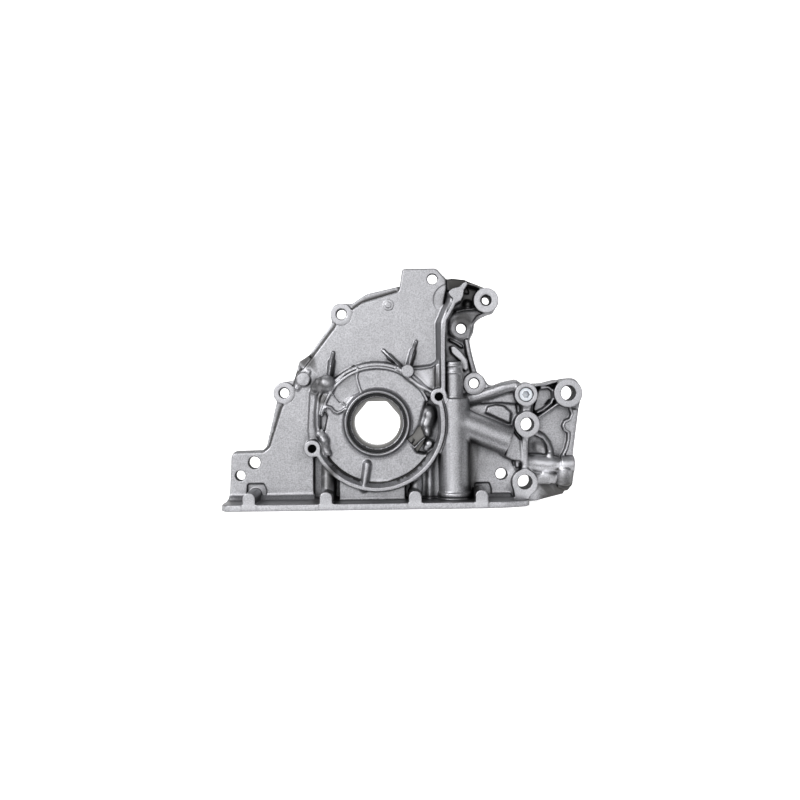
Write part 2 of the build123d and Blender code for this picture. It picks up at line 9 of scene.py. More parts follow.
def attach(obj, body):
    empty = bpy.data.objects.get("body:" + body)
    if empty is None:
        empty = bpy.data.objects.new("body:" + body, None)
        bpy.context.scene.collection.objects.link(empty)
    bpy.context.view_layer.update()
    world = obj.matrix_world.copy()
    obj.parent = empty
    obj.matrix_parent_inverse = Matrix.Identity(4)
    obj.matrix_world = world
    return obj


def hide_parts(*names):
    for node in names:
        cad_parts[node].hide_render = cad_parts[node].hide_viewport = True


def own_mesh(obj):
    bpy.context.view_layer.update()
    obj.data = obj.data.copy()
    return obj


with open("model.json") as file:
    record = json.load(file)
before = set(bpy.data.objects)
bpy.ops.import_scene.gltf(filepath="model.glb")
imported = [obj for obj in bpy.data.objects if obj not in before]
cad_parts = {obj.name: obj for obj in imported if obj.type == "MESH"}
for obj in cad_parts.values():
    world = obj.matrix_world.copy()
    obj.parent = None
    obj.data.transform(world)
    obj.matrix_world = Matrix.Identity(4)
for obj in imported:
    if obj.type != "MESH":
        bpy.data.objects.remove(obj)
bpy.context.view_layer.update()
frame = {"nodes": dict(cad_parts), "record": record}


STEP = 0.55
FACES = 196000
rng = np.random.default_rng(7)

# ---------------------------------------------------------------- solid modelling on a distance grid (mm)
LO = np.array([-131.5, -51.0, -72.0])
HI = np.array([177.5, 2.5, 132.5])


class Field:
    """Signed distance of the casting on a regular grid, in millimetres."""

    def __init__(self, step):
        self.h = step
        self.n = np.ceil((HI - LO) / step).astype(int) + 1
        self.ax = [LO[i] + step * np.arange(self.n[i]) for i in range(3)]
        self.f = np.full(self.n, 50.0, np.float32)

    def part(self, lo, hi, pad):
        sl, g = [], []
        for i in range(3):
            a = max(0, int((lo[i] - pad - LO[i]) / self.h))
            b = min(self.n[i], int((hi[i] + pad - LO[i]) / self.h) + 2)
            sl.append(slice(a, max(a + 1, b)))
            g.append(self.ax[i][sl[i]].astype(np.float32))
        return tuple(sl), g[0][:, None, None], g[1][None, :, None], g[2][None, None, :]

    def put(self, lo, hi, fun, k=0.0, mode="add"):
        sl, x, y, z = self.part(lo, hi, max(k, 0) + 3 * self.h)
        a = self.f[sl]
        d = fun(x, y, z)
        if mode == "add":
            if k > 0:
                t = np.clip(k - np.abs(a - d), 0, None) / k
                self.f[sl] = np.minimum(a, d) - t * t * k * 0.25
            else:
                self.f[sl] = np.minimum(a, d)
        else:
            d = -d
            if k > 0:
                t = np.clip(k - np.abs(a - d), 0, None) / k
                self.f[sl] = np.maximum(a, d) + t * t * k * 0.25
            else:
                self.f[sl] = np.maximum(a, d)

    def sample(self, p):
        """Distance at points p (n, 3)."""
        q = (p - LO) / self.h
        q = np.clip(q, 0.001, self.n - 1.001)
        i = q.astype(int)
        t = (q - i).astype(np.float32)
        f = self.f
        c = {}
        for dx in (0, 1):
            for dy in (0, 1):
                for dz in (0, 1):
                    c[dx, dy, dz] = f[i[:, 0] + dx, i[:, 1] + dy, i[:, 2] + dz]
        tx, ty, tz = t[:, 0], t[:, 1], t[:, 2]

        def mix(u, v, w):
            return u * (1 - w) + v * w
        c00, c01 = mix(c[0, 0, 0], c[0, 0, 1], tz), mix(c[0, 1, 0], c[0, 1, 1], tz)
        c10, c11 = mix(c[1, 0, 0], c[1, 0, 1], tz), mix(c[1, 1, 0], c[1, 1, 1], tz)
        d = mix(mix(c00, c01, ty), mix(c10, c11, ty), tx)
        return d


def length(*v):
    s = 0
    for a in v:
        s = s + np.maximum(a, 0) ** 2
    return np.sqrt(s)


def slab_of(d2, y, y0, y1, er):
    """Extrudes a 2-D distance from y0 (rear) to y1 (front), edges rounded by er."""
    dy = np.abs(y - (y0 + y1) / 2) - abs(y0 - y1) / 2
    if er <= 0:
        return np.maximum(d2, dy)
    a, b = d2 + er, dy + er
    return np.minimum(np.maximum(a, b), 0) + length(a, b) - er


def arc_points(pts):
    """Corner list (x, z, radius) -> dense closed outline."""
    out, n = [], len(pts)
    for i in range(n):
        p0, p1, p2 = pts[i - 1], pts[i], pts[(i + 1) % n]
        a = np.array([p0[0] - p1[0], p0[1] - p1[1]], float)
        b = np.array([p2[0] - p1[0], p2[1] - p1[1]], float)
        la, lb = np.hypot(*a), np.hypot(*b)
        a, b = a / la, b / lb
        half = math.acos(max(-1, min(1, float(a @ b)))) / 2
        r = p1[2] if len(p1) > 2 else 0
        p = np.array(p1[:2], float)
        if r <= 0 or half > math.pi / 2 - 0.02 or half < 0.02:
            out.append(p)
            continue
        t = min(r / math.tan(half), 0.48 * la, 0.48 * lb)
        r = t * math.tan(half)
        bis = (a + b) / np.hypot(*(a + b))
        c = p + bis * r / math.sin(half)
        s, e = p + a * t, p + b * t
        a0 = math.atan2(*(s - c)[::-1])
        a1 = math.atan2(*(e - c)[::-1])
        da = (a1 - a0 + math.pi) % (2 * math.pi) - math.pi
        m = max(2, int(abs(da) / math.radians(9)) + 1)
        for j in range(m + 1):
            q = a0 + da * j / m
            out.append(c + r * np.array([math.cos(q), math.sin(q)]))
    return np.array(out)


def poly2(px, pz, poly):
    """Signed distance in the plane to a closed outline (negative inside)."""
    px, pz = np.broadcast_arrays(px, pz)
    shp = px.shape
    px, pz = px.ravel().astype(np.float32), pz.ravel().astype(np.float32)
    best = np.full(px.shape, 1e9, np.float32)
    inside = np.zeros(px.shape, bool)
    n = len(poly)
    for i in range(n):
        ax, az = poly[i]
        bx, bz = poly[(i + 1) % n]
        ex, ez = bx - ax, bz - az
        l2 = ex * ex + ez * ez
        if l2 < 1e-12:
            continue
        wx, wz = px - ax, pz - az
        t = np.clip((wx * ex + wz * ez) / l2, 0, 1)
        best = np.minimum(best, (wx - t * ex) ** 2 + (wz - t * ez) ** 2)
        if az != bz:
            c = (az <= pz) != (bz <= pz)
            xi = ax + (pz - az) * (ex / ez)
            inside ^= c & (px < xi)
    d = np.sqrt(best)
    d[inside] *= -1
    return d.reshape(shp)


def line2(px, pz, pts):
    """Distance in the plane to an open run of points."""
    px, pz = np.broadcast_arrays(px, pz)
    best = np.full(px.shape, 1e9, np.float32)
    for (ax, az), (bx, bz) in zip(pts[:-1], pts[1:]):
        ex, ez = bx - ax, bz - az
        l2 = max(ex * ex + ez * ez, 1e-9)
        wx, wz = px - ax, pz - az
        t = np.clip((wx * ex + wz * ez) / l2, 0, 1)
        best = np.minimum(best, (wx - t * ex) ** 2 + (wz - t * ez) ** 2)
    return np.sqrt(best)


class Caster:
    def __init__(self, step):
        self.F = Field(step)
        self.cuts = []          # machined surfaces, for the finish

    def prism(self, pts, y0, y1, er=0.8, k=1.2, draft=2.0, mode="add", mill=False):
        poly = arc_points(pts)
        t = math.tan(math.radians(draft))

        def fun(x, y, z):
            d2 = poly2(x, z, poly)
            if mode == "add":
                d2 = d2 + t * (y0 - y) if y1 < y0 else d2 + t * (y - y0)
            else:
                # pocket: y0 is the mouth, walls lean in towards the floor y1
                d2 = d2 + t * np.abs(y - y0)
            return slab_of(d2, y, y0, y1, er)
        lo = (poly[:, 0].min(), min(y0, y1), poly[:, 1].min())
        hi = (poly[:, 0].max(), max(y0, y1), poly[:, 1].max())
        self.F.put(lo, hi, fun, k, mode)
        if mill:
            self.cuts.append((lo, hi, fun, mill))

    def cyl(self, x0, z0, r, y0, y1, er=0.8, k=1.2, draft=0.0, mode="add", mill=False, r1=None):
        t = math.tan(math.radians(draft))

        def fun(x, y, z):
            rr = r if r1 is None else r + (r1 - r) * (y - y0) / (y1 - y0)
            d2 = np.sqrt((x - x0) ** 2 + (z - z0) ** 2) - rr
            if t:
                d2 = d2 + t * np.abs(y - y0)
            return slab_of(d2, y, y0, y1, er)
        R = max(r, r1 or 0)
        lo, hi = (x0 - R, min(y0, y1), z0 - R), (x0 + R, max(y0, y1), z0 + R)
        self.F.put(lo, hi, fun, k, mode)
        if mill:
            self.cuts.append((lo, hi, fun, mill))

    def rib(self, pts, w, y0, y1, er=0.6, k=1.5, draft=2.0, mode="add", w1=None):
        p = np.array(pts, float)
        t = math.tan(math.radians(draft))

        def fun(x, y, z):
            d2 = line2(x, z, p) - w / 2 + t * np.abs(y - y0) * (1 if mode == "add" else 1)
            return slab_of(d2, y, y0, y1, er)
        lo = (p[:, 0].min() - w, min(y0, y1), p[:, 1].min() - w)
        hi = (p[:, 0].max() + w, max(y0, y1), p[:, 1].max() + w)
        self.F.put(lo, hi, fun, k, mode)

    def ridge(self, pts, w, y0, ys, er=0.6, k=1.5, draft=2.0):
        """Rib whose front edge height changes along the run: ys one value per point."""
        p = np.array(pts, float)
        t = math.tan(math.radians(draft))
        ys = np.array(ys, float)

        def fun(x, y, z):
            px, pz = np.broadcast_arrays(x, z)
            best = np.full(px.shape, 1e9, np.float32)
            yf = np.zeros(px.shape, np.float32)
            for i in range(len(p) - 1):
                (ax, az), (bx, bz) = p[i], p[i + 1]
                ex, ez = bx - ax, bz - az
                l2 = max(ex * ex + ez * ez, 1e-9)
                s = np.clip(((px - ax) * ex + (pz - az) * ez) / l2, 0, 1)
                d = (px - ax - s * ex) ** 2 + (pz - az - s * ez) ** 2
                m = d < best
                best = np.where(m, d, best)
                yf = np.where(m, ys[i] + (ys[i + 1] - ys[i]) * s, yf)
            d2 = np.sqrt(best) - w / 2 + t * np.abs(y - y0)
            dy = np.maximum(yf - y, y - y0)
            a, b = d2 + er, dy + er
            return np.minimum(np.maximum(a, b), 0) + length(a, b) - er
        lo = (p[:, 0].min() - w, ys.min(), p[:, 1].min() - w)
        hi = (p[:, 0].max() + w, y0, p[:, 1].max() + w)
        self.F.put(lo, hi, fun, k, "add")

    def bar(self, a, b, r, er=0.8, k=2.0, mode="add", r1=None, mill=False):
        """Round bar between two points, flat ends."""
        a, b = np.array(a, float), np.array(b, float)
        u = b - a
        l = float(np.linalg.norm(u))
        u = u / l

        def fun(x, y, z):
            s = (x - a[0]) * u[0] + (y - a[1]) * u[1] + (z - a[2]) * u[2]
            q = np.sqrt(np.maximum((x - a[0]) ** 2 + (y - a[1]) ** 2 + (z - a[2]) ** 2 - s * s, 0))
            rr = r if r1 is None else r + (r1 - r) * s / l
            d2, dy = q - rr, np.abs(s - l / 2) - l / 2
            if er <= 0:
                return np.maximum(d2, dy)
            return np.minimum(np.maximum(d2 + er, dy + er), 0) + length(d2 + er, dy + er) - er
        R = max(r, r1 or 0)
        lo, hi = np.minimum(a, b) - R, np.maximum(a, b) + R
        self.F.put(lo, hi, fun, k, mode)
        if mill:
            self.cuts.append((lo, hi, fun, mill))

    def ball(self, c, r, k=2.0, mode="add", s=(1, 1, 1)):
        def fun(x, y, z):
            q = np.sqrt(((x - c[0]) / s[0]) ** 2 + ((y - c[1]) / s[1]) ** 2 + ((z - c[2]) / s[2]) ** 2)
            return (q - r) * min(s)
        lo = [c[i] - r * s[i] for i in range(3)]
        hi = [c[i] + r * s[i] for i in range(3)]
        self.F.put(lo, hi, fun, k, mode)

    def block(self, lo, hi, er=0.8, k=1.5, mode="add", mill=False):
        c = [(lo[i] + hi[i]) / 2 for i in range(3)]
        s = [(hi[i] - lo[i]) / 2 for i in range(3)]

        def fun(x, y, z):
            a, b, d = np.abs(x - c[0]) - s[0] + er, np.abs(y - c[1]) - s[1] + er, np.abs(z - c[2]) - s[2] + er
            return np.minimum(np.maximum(np.maximum(a, b), d), 0) + length(a, b, d) - er
        self.F.put(lo, hi, fun, k, mode)
        if mill:
            self.cuts.append((lo, hi, fun, mill))

    def raw(self, lo, hi, fun, k=0.0, mode="add", mill=False):
        self.F.put(lo, hi, fun, k, mode)
        if mill:
            self.cuts.append((lo, hi, fun, mill))

    def ring(self, x0, z0, ri, ro, y0, y1, er, k, clip, draft=0.0):
        poly = np.array(clip, float)
        t = math.tan(math.radians(draft))

        def fun(x, y, z):
            q = np.sqrt((x - x0) ** 2 + (z - z0) ** 2)
            d2 = np.maximum(q - ro, ri - q) + t * np.abs(y - y0)
            d2 = np.maximum(d2, poly2(x, z, poly))
            return slab_of(d2, y, y0, y1, er)
        self.raw((x0 - ro, min(y0, y1), z0 - ro), (x0 + ro, max(y0, y1), z0 + ro), fun, k)

    def disc(self, x0, z0, r, y0, y1, er, k, clip):
        self.ring(x0, z0, -9.0, r, y0, y1, er, k, clip)

    def plate(self, pts, z0, z1, er=0.8, k=1.5, mode="add", mill=False, draft=0.0):
        """Outline in the XY plane, extruded along Z; the outline is the size at z0."""
        poly = arc_points(pts)
        t = math.tan(math.radians(draft))

        def fun(x, y, z):
            return slab_of(poly2(x, y, poly) + t * np.abs(z - z0), z, z1, z0, er)
        lo = (poly[:, 0].min(), poly[:, 1].min(), min(z0, z1))
        hi = (poly[:, 0].max(), poly[:, 1].max(), max(z0, z1))
        self.raw(lo, hi, fun, k, mode, mill)

    def pocket(self, pts, y1, keep=(), er=0.8, k=0.8):
        """Recess open to the rear; keep lists circles (x, z, r) and ribs ((p, q), width) that stay."""
        poly = arc_points(pts)

        def fun(x, y, z):
            d2 = poly2(x, z, poly)
            for kp in keep:
                if len(kp) == 3:
                    d2 = np.maximum(d2, kp[2] - np.sqrt((x - kp[0]) ** 2 + (z - kp[1]) ** 2))
                else:
                    d2 = np.maximum(d2, kp[1] / 2 - line2(x, z, np.array(kp[0], float)))
            d2 = d2 - 0.04 * y
            return slab_of(d2, y, 3.0, y1, er)
        lo = (poly[:, 0].min(), y1, poly[:, 1].min())
        hi = (poly[:, 0].max(), 3.0, poly[:, 1].max())
        self.raw(lo, hi, fun, k, "cut")

    def drill(self, x0, z0, r, y0, y1, ch=0.5, front=None, rear=None):
        """Drilled hole along Y with a small break at the given faces."""
        def fun(x, y, z):
            q = np.sqrt((x - x0) ** 2 + (z - z0) ** 2)
            rr = r + np.zeros_like(y)
            if front is not None:
                rr = rr + np.clip(ch - np.abs(y - front), 0, ch) + np.where(y < front, ch, 0)
            if rear is not None:
                rr = rr + np.clip(ch - np.abs(y - rear), 0, ch) + np.where(y > rear, ch, 0)
            return np.maximum(q - rr, np.abs(y - (y0 + y1) / 2) - abs(y0 - y1) / 2)
        R = r + 2 * ch
        self.raw((x0 - R, min(y0, y1), z0 - R), (x0 + R, max(y0, y1), z0 + R), fun, 0, "cut", 3)

    def face(self, x0, z0, r, y, depth=8.0):
        """Milled flat: everything in front of y inside the circle goes."""
        self.cyl(x0, z0, r, y, y - depth, er=0, k=0, mode="cut", mill=True)

    def sump_flange(self):
        self.plate([(-128.5, 0, 0), (-128.5, -40.0, 6.0), (-124.0, -48.6, 6.0), (66, -48.6, 30), (104, -46.2, 20), (122.5, -39.5, 8.0),
                    (126.6, -29, 5), (126, 0, 0)], -70.6, -64.6, er=1.1, k=2.4, draft=1.5)
        # the low lip behind the flange edge and the coves up to the plates
        self.bar((-126.5, -13.2, -66.0), (-54.0, -13.2, -66.0), 4.2, er=0.5, k=3.5)
        self.bar((84.0, -13.2, -66.0), (112.0, -13.2, -66.0), 4.2, er=0.5, k=3.5)


# ---------------------------------------------------------------- outlines in mm: x, z, corner radius
REAR = [(-128.5, -70, 2), (-126.9, -61.9, 2), (-125.3, -23.8, 5.1), (-98.6, -22.9, 3.4),
        (-95.6, -19.7, 3.4), (-86.5, 18.3, 3.4), (-87.4, 29, 8), (-79.0, 35.6, 6),
        (-71.4, 36.5, 2.6), (-67.1, 50.9, 1.7), (-57.7, 58.5, 1.7), (-38.3, 84.9, 3.4),
        (-39.0, 101.4, 8), (-20.6, 101.8, 3.4), (-8.5, 109.8, 13.7), (21.2, 116.3, 1.7),
        (22.2, 131.2, 2.6), (52.1, 131.4, 6.0), (60.9, 121.2, 1.7), (75.9, 120.9, 2.5),
        (95.5, 112.4, 4), (104.4, 102, 8), (100.5, 91.5, 4), (88, 88.3, 8),
        (82.7, 83.5, 4), (81.9, 77.7, 5), (78.9, 66.6, 2.6), (84.8, 42.5, 2.6),
        (91.7, 36.7, 4), (96.7, 27.9, 6.9), (105.3, 26.6, 12), (115.6, 28.3, 10),
        (127.7, 33.0, 6.9), (135.3, 29.5, 8.6), (157.7, 34.8, 4.3), (171.5, 36.0, 10.3),
        (175.5, 20.6, 10.3), (172.8, 9.5, 12), (167.2, -30.7, 2.6), (165.8, -46.4, 8.6),
        (163.8, -53.8, 4.3), (158.2, -63.4, 1.7), (135.7, -69.4, 5.1), (128, -70, 2)]
PANEL = [(22.6, 130.8, 2.6), (52.0, 131.0, 6.0), (60.8, 120.9, 3.4), (60.8, 113.4, 2.6),
         (58.0, 99.1, 2.6), (58.0, 77.7, 2.6), (60, 22.4, 2.6), (60, 1.1, 2.6),
         (60, -69.9, 1.0), (-127.9, -69.9, 1.7), (-125.3, -23.8, 5.1), (-97.8, -23.6, 4.3),
         (-92.7, -19.8, 4.3), (-82.0, 13.2, 2.6), (-72.4, 28.4, 6.8), (-68.0, 42.8, 5.1),
         (-62.8, 47.0, 5.1), (-55.9, 55.4, 4.3), (-35.5, 81.6, 4.3), (-32.4, 89.2, 6.8),
         (-20.4, 96.7, 3.4), (-11.8, 102.5, 8.5), (19.4, 111.5, 4.3)]
RAIL = [(54.6, 24, 0), (57.5, 24, 0), (58.2, 72.6, 3), (59.4, 85, 3), (60.6, 86.6, 1.7), (64.9, 94.0, 1.7), (67.1, 98.5, 1.2), (71.7, 101.0, 1.2), (73.5, 104.7, 1.2), (74.2, 109.7, 1.0), (77.5, 114.6, 0.7), (76.1, 117.5, 0.7), (73.4, 115.9, 0.7), (70.2, 112.9, 1.2), (64.4, 111.6, 1.2), (60.8, 108.6, 1.2), (61.6, 105.3, 1.2), (64.4, 102.7, 1.2), (63.5, 99.0, 1.2), (60.7, 93.6, 1.7), (57.0, 87.0, 1.7), (55.2, 83, 3), (54.0, 76, 3), (53.9, 24, 1)]
LOWER = [(-80, -80), (-80, -29), (-54.3, -20.7), (51.9, 21.2), (80, 32), (80, -80)]
UPPER = [(-80, -29), (-54.3, -20.7), (51.9, 21.2), (80, 32), (80, 80), (-80, 80)]
BOSS_X = (-104.9, -42.0, 30.8, 85.1)
BOSSES = ((125.8, 21.9, 10.5), (126.3, -3.3, 11.6), (123.6, -51.7, 11.6), (161.2, 22.7, 12.8))
EARS = ((-79.7, 25.8), (-29.8, 92.6), (83.1, 31.9))


def cast_front(c):
    # rear plate with the perimeter flange, outer panel with the left foot plate
    c.prism(REAR, 1.5, -7, er=0.9, k=0, draft=1.0)
    c.prism(PANEL, 0.0, -12.5, er=1.5, k=1.4, draft=2.5)
    # dark shoulder block on the left wall, round pad beside it
    c.prism([[-66.4, 52.7, 0.9], [-57.4, 57.7, 0.9], [-55.3, 53.8, 0.9], [-56.2, 47.0, 0.9], [-63.9, 46.2, 0.9], [-66.4, 48.8, 0.9]], -4, -10.5, er=0.8, k=1.2)
    c.cyl(-62.5, 37.2, 6.29, -6, -14.2, er=1.0, k=1.5, draft=3)
    c.rib([[-68.1, 30.1], [-58.5, 43.6]], 4.3, -6, -13.4, er=1.2, k=2)
    # step down beside the foot plate, scallop below the tab, web beside the tab
    c.prism([[-55.2, -64.8, 1.0], [-55.0, -30.0, 2.0], [-48.0, -22.0, 2.0], [-30.0, -22.0, 2.0], [-30.0, -64.8, 1.0]], -13.5, -6.0, er=0.8, k=1.0, draft=4, mode='cut')

    def scallop(x, y, z):
        q = np.sqrt((x - 62.5) ** 2 + (z - 103.3) ** 2)
        t = np.clip(((x - 62.5) * -0.78 + (z - 103.3) * 0.62) / 13.4, 0, 1)
        return np.maximum(q - 13.4, y - (-12.5 + 0.5 * t))
    c.raw((49, -20, 90), (76, -10, 117), scallop, 0.7, "cut")
    c.prism([[56.0, 112.0, 1.0], [57.0, 121.2, 1.0], [66.0, 122.2, 4.0], [77.0, 120.6, 2.0], [80.0, 108.0, 1.0]], 0, -9.0, er=1.2, k=1.2, draft=2)
    # rounded recesses behind the first and the last boss of the sump flange
    c.prism([[-112.6, -64.8, 0.7], [-112.1, -50.4, 2.6], [-97.0, -50.5, 2.6], [-94.5, -56.5, 1.7], [-94.9, -65.0, 0.7]], -13.5, -10.4, er=0.6, k=0.9, draft=16, mode='cut')
    c.block((-127.0, -14.0, -64.6), (-48.0, -8.0, -61.0), er=0.6, k=0.6, mode='cut')
    # pump body: upper disc with its rim, lower disc with the ring rib
    c.cyl(-0.3, 0.3, 51.2, -10, -25, er=1.6, k=2.2, draft=3)
    c.ring(-0.3, 0.3, 44.9, 47.2, -20, -26.8, 0.7, 1.2, UPPER)
    c.disc(-0.2, -0.2, 56.6, -8, -25, 1.0, 0.0, LOWER)
    c.ring(-0.2, -0.2, 53.9, 57.5, -10, -31, 0.4, 1.2, LOWER, 1.5)

    def ring_slope(x, y, z):
        q = np.sqrt(x ** 2 + z ** 2)
        inner = 50.2 + 3.9 * (-25.0 - y) / 6.0
        d = np.maximum((inner - q) * 0.84, q - 56.0)
        d = np.maximum(d, poly2(x, z, np.array(LOWER, float)))
        return np.maximum(d, np.maximum(-31.0 - y, y + 20))
    c.raw((-58, -31, -58), (58, -20, 40), ring_slope, 0.3)

    def crease(x, y, z):
        q = np.sqrt(x ** 2 + z ** 2)
        d = np.maximum(np.abs(q - 49.9) - 0.55, poly2(x, z, np.array(LOWER, float)))
        return np.maximum(d, np.maximum(-27.0 - y, y + 24.2))
    c.raw((-54, -27, -54), (54, -23, 40), crease, 0.3, "cut")
    # seal boss
    c.cyl(0, 0, 29.6, -22, -34, er=0.3, k=2.6, r1=26.5)
    # outer wall column on the left of the body
    c.prism([[-57.1, 26.6, 1.7], [-49.3, 38.3, 2.5], [-34.2, 38.0, 2.5], [-20.8, 32.8, 3.4], [-21.7, -31.1, 3.4], [-36.8, -32.6, 3.4], [-51.9, -29.0, 2.5], [-57.7, -18.9, 2.5], [-59.2, -5.4, 2.5]], -8, -19, er=1.5, k=2.5, draft=3)
    # long rail, blob and the two lugs
    c.prism(RAIL, -6, -31.8, er=0.4, k=1.6, draft=0.8)
    c.ridge([[54.6, 26], [54.6, 83], [59.2, 93.5], [62.8, 100], [65.5, 108]], 8.0, -12, [-30.6, -30.6, -29.5, -27.5, -26], er=0.6, k=1.6, draft=11)
    c.cyl(-54.2, -20.7, 7.35, -8, -32, er=0.3, k=1.5, draft=1)
    c.cyl(51.7, 21.2, 7.35, -8, -32, er=0.3, k=1.5, draft=1)
    c.rib([[53.5, 14.3], [55.3, -6.5], [52.1, -24.8]], 3.7, -10, -31, er=0.5, k=1.2)
    # rims between pad and lug, flat triangle, ribs on the panel
    c.ridge([[18.1, 45.6], [25.5, 38.0], [34.6, 31.2], [46.0, 25.2]], 5.4, -14, [-27.5, -27.5, -27.5, -28.5], er=0.9, k=2.0, draft=6)
    c.ridge([[30.0, 45.0], [37.6, 45.4], [46.2, 46.5], [52.2, 50.5]], 5.6, -8, [-22.5, -22, -22, -24], er=1.2, k=1.8, draft=10)
    c.rib([[52.0, 46.9], [51.8, 28.5]], 8.4, -8, -25, er=1.4, k=2.0, draft=6)
    c.prism([[26.5, 42.3, 1.7], [32.5, 45.6, 1.7], [49.5, 47.0, 1.7], [50.9, 25.1, 1.7], [44.8, 23.5, 1.7], [29.7, 32.1, 2.5]], -8, -20.5, er=0.8, k=1.5)
    c.cyl(26.1, 43.0, 5.60, -8, -28.5, er=0.3, k=1.2, draft=1)
    c.ridge([[-36.9, 59.4], [-38.4, 50.9], [-39.8, 40.7]], 4.2, -10, [-15.0, -20.5, -23.8], er=0.6, k=0.7, draft=9)
    c.ridge([[-38.2, 52.0], [-39.8, 40.7]], 7.4, -10, [-17.0, -23.2], er=0.8, k=1.4, draft=15)
    c.ridge([[5.9, 60.9], [12.3, 54.3], [19.0, 47.6]], 3.8, -10, [-14.2, -19, -23.5], er=0.6, k=0.7, draft=9)
    c.ridge([[11.0, 55.6], [19.0, 47.6]], 6.2, -10, [-15.5, -22.8], er=0.8, k=1.4, draft=13)
    c.ridge([[33.7, 68.0], [30.6, 58.4], [27.9, 49.1]], 3.8, -10, [-14.2, -19, -23.5], er=0.6, k=0.7, draft=9)
    c.ridge([[31.0, 59.6], [27.9, 49.1]], 6.6, -10, [-15.5, -22.8], er=0.8, k=1.4, draft=13)
    c.cyl(10.5, 99.7, 4.68, -6, -12.9, er=0.2, k=0.3)
    c.cyl(10.5, 99.7, 2.55, -12.0, -13.2, er=0.2, k=0.2)
    # domed head, wall crest, arch and bell on the left of the ring
    c.ball((-42.1, -22.5, 33.1), 7.74, k=1.2)
    c.ball((-50.5, -19.5, 31.5), 5.32, k=4.5)
    c.ball((-49.1, -22.5, 35.3), 2.69, k=3.0)
    c.ridge([[-46.1, 28.1], [-48.7, 21.4], [-50.1, 9.6], [-50.2, -1.3], [-48.7, -8.0]], 7.6, -18, [-25.5, -25.5, -26.5, -26.5, -26], er=1.2, k=2.2, draft=20)
    c.prism([[-48.0, 8.8, 1.3], [-43.4, 10.8, 1.7], [-40.9, 6.2, 1.7], [-42.3, -0.6, 1.7], [-43.6, -6.9, 1.7], [-48.3, -6.8, 1.3]], -26, -21.8, er=0.8, k=1.6, mode='cut', draft=16)
    c.ridge([[-46.7, 8.0], [-45.0, 12.0], [-41.6, 14.2], [-38.4, 13.3], [-36.3, 10.4], [-33.0, 8.7], [-29.3, 10.3], [-26.3, 12.4]], 4.2, -20, [-27, -27.4, -27.6, -27.4, -27.2, -27.2, -27.2, -27.2], er=1.0, k=1.4, draft=11)
    c.ridge([[-37.4, 25.1], [-33.3, 20.4], [-26.3, 15.3]], 3.0, -21, [-26.8, -26.6, -26.4], er=0.9, k=1.4, draft=14)
    c.prism([[-51.0, -7.9, 2.5], [-41.0, -6.8, 2.5], [-39.4, -15.6, 4.2], [-37.1, -28.2, 1.3], [-47.1, -29.4, 1.3], [-50.8, -18.8, 2.5]], -15, -28.6, er=4.2, k=1.6, draft=8)
    c.ball((-48.8, -25.5, -8.7), 2.68, k=3.0)
    c.ball((-43.8, -26.5, -14.6), 2.51, k=3.5)
    c.ball((-41.4, -26.5, -24.7), 2.34, k=2.5)
    # deep valley and lumps on the right of the seal boss
    c.prism([[43.4, 21.8, 2.1], [50.0, 20.1, 2.1], [53.3, 11.6, 2.5], [53.9, -1.8, 3.4], [52.5, -13.5, 3.4], [47.8, -22.7, 3.4], [40.2, -27.6, 3.4], [32.6, -25.8, 1.7], [29.3, -21.1, 0.8], [24.2, -14.4, 0.8], [29.9, -9.8, 1.7], [34.6, -2.3, 3.4], [37.3, 6.8, 3.4], [39.9, 16.0, 2.5]], -25.3, -17.0, er=0.8, k=2.0, mode='cut', draft=12)
    c.ball((43.6, -18.5, 5.7), 6.42, k=3.0, s=(0.95, 0.9, 1.3))
    c.ball((40.7, -18.0, -2.3), 5.24, k=4.5)
    c.ball((42.2, -20.0, -9.4), 3.37, k=3.5)
    c.ball((43.6, -20.5, -18.7), 4.22, k=3.0)
    c.ball((41.2, -21.5, -22.0), 2.80, k=1.4)
    c.ridge([[24.4, -14.4], [27.7, -18.0], [31.1, -21.4], [35.3, -17.0], [39.5, -13.5]], 2.9, -18, [-26.2, -26.0, -25.8, -25.2, -24], er=0.8, k=1.0, draft=9)
    # curved edge of the floor right of the seal boss, short edge above it
    c.ridge([[-15.8, 45.3], [-16.8, 37.8], [-15.2, 31.0], [-13.6, 26.8]], 2.4, -20, [-26.3, -26.2, -26.2, -26.3], er=0.6, k=1.0)
    c.prism([[-16.3, 45.3, 0.8], [-16.4, 36.1, 1.7], [-13.2, 26.0, 0.8], [-22.5, 21.9, 1.7], [-30.9, 16.2, 1.7], [-36.7, 23.8, 1.7], [-33.2, 33.8, 1.7], [-25.5, 41.3, 2.5]], -25.4, -24.2, er=0.3, k=0.8, mode='cut', draft=20)
    # radial rib inside the ring
    c.ridge([[-8.7, -34.6], [-10.3, -44.5], [-11.9, -54.5]], 8.9, -24, [-29.6, -30.2, -30.8], er=1.0, k=0.8, draft=27)
    # wall above the sump flange between the middle bosses
    c.prism([[-33.0, -66.0, 0.8], [-32.6, -48.0, 1.6], [23.4, -48.0, 1.6], [23.0, -66.0, 0.8]], 0, -25.0, er=0.8, k=1.2, draft=1.0)
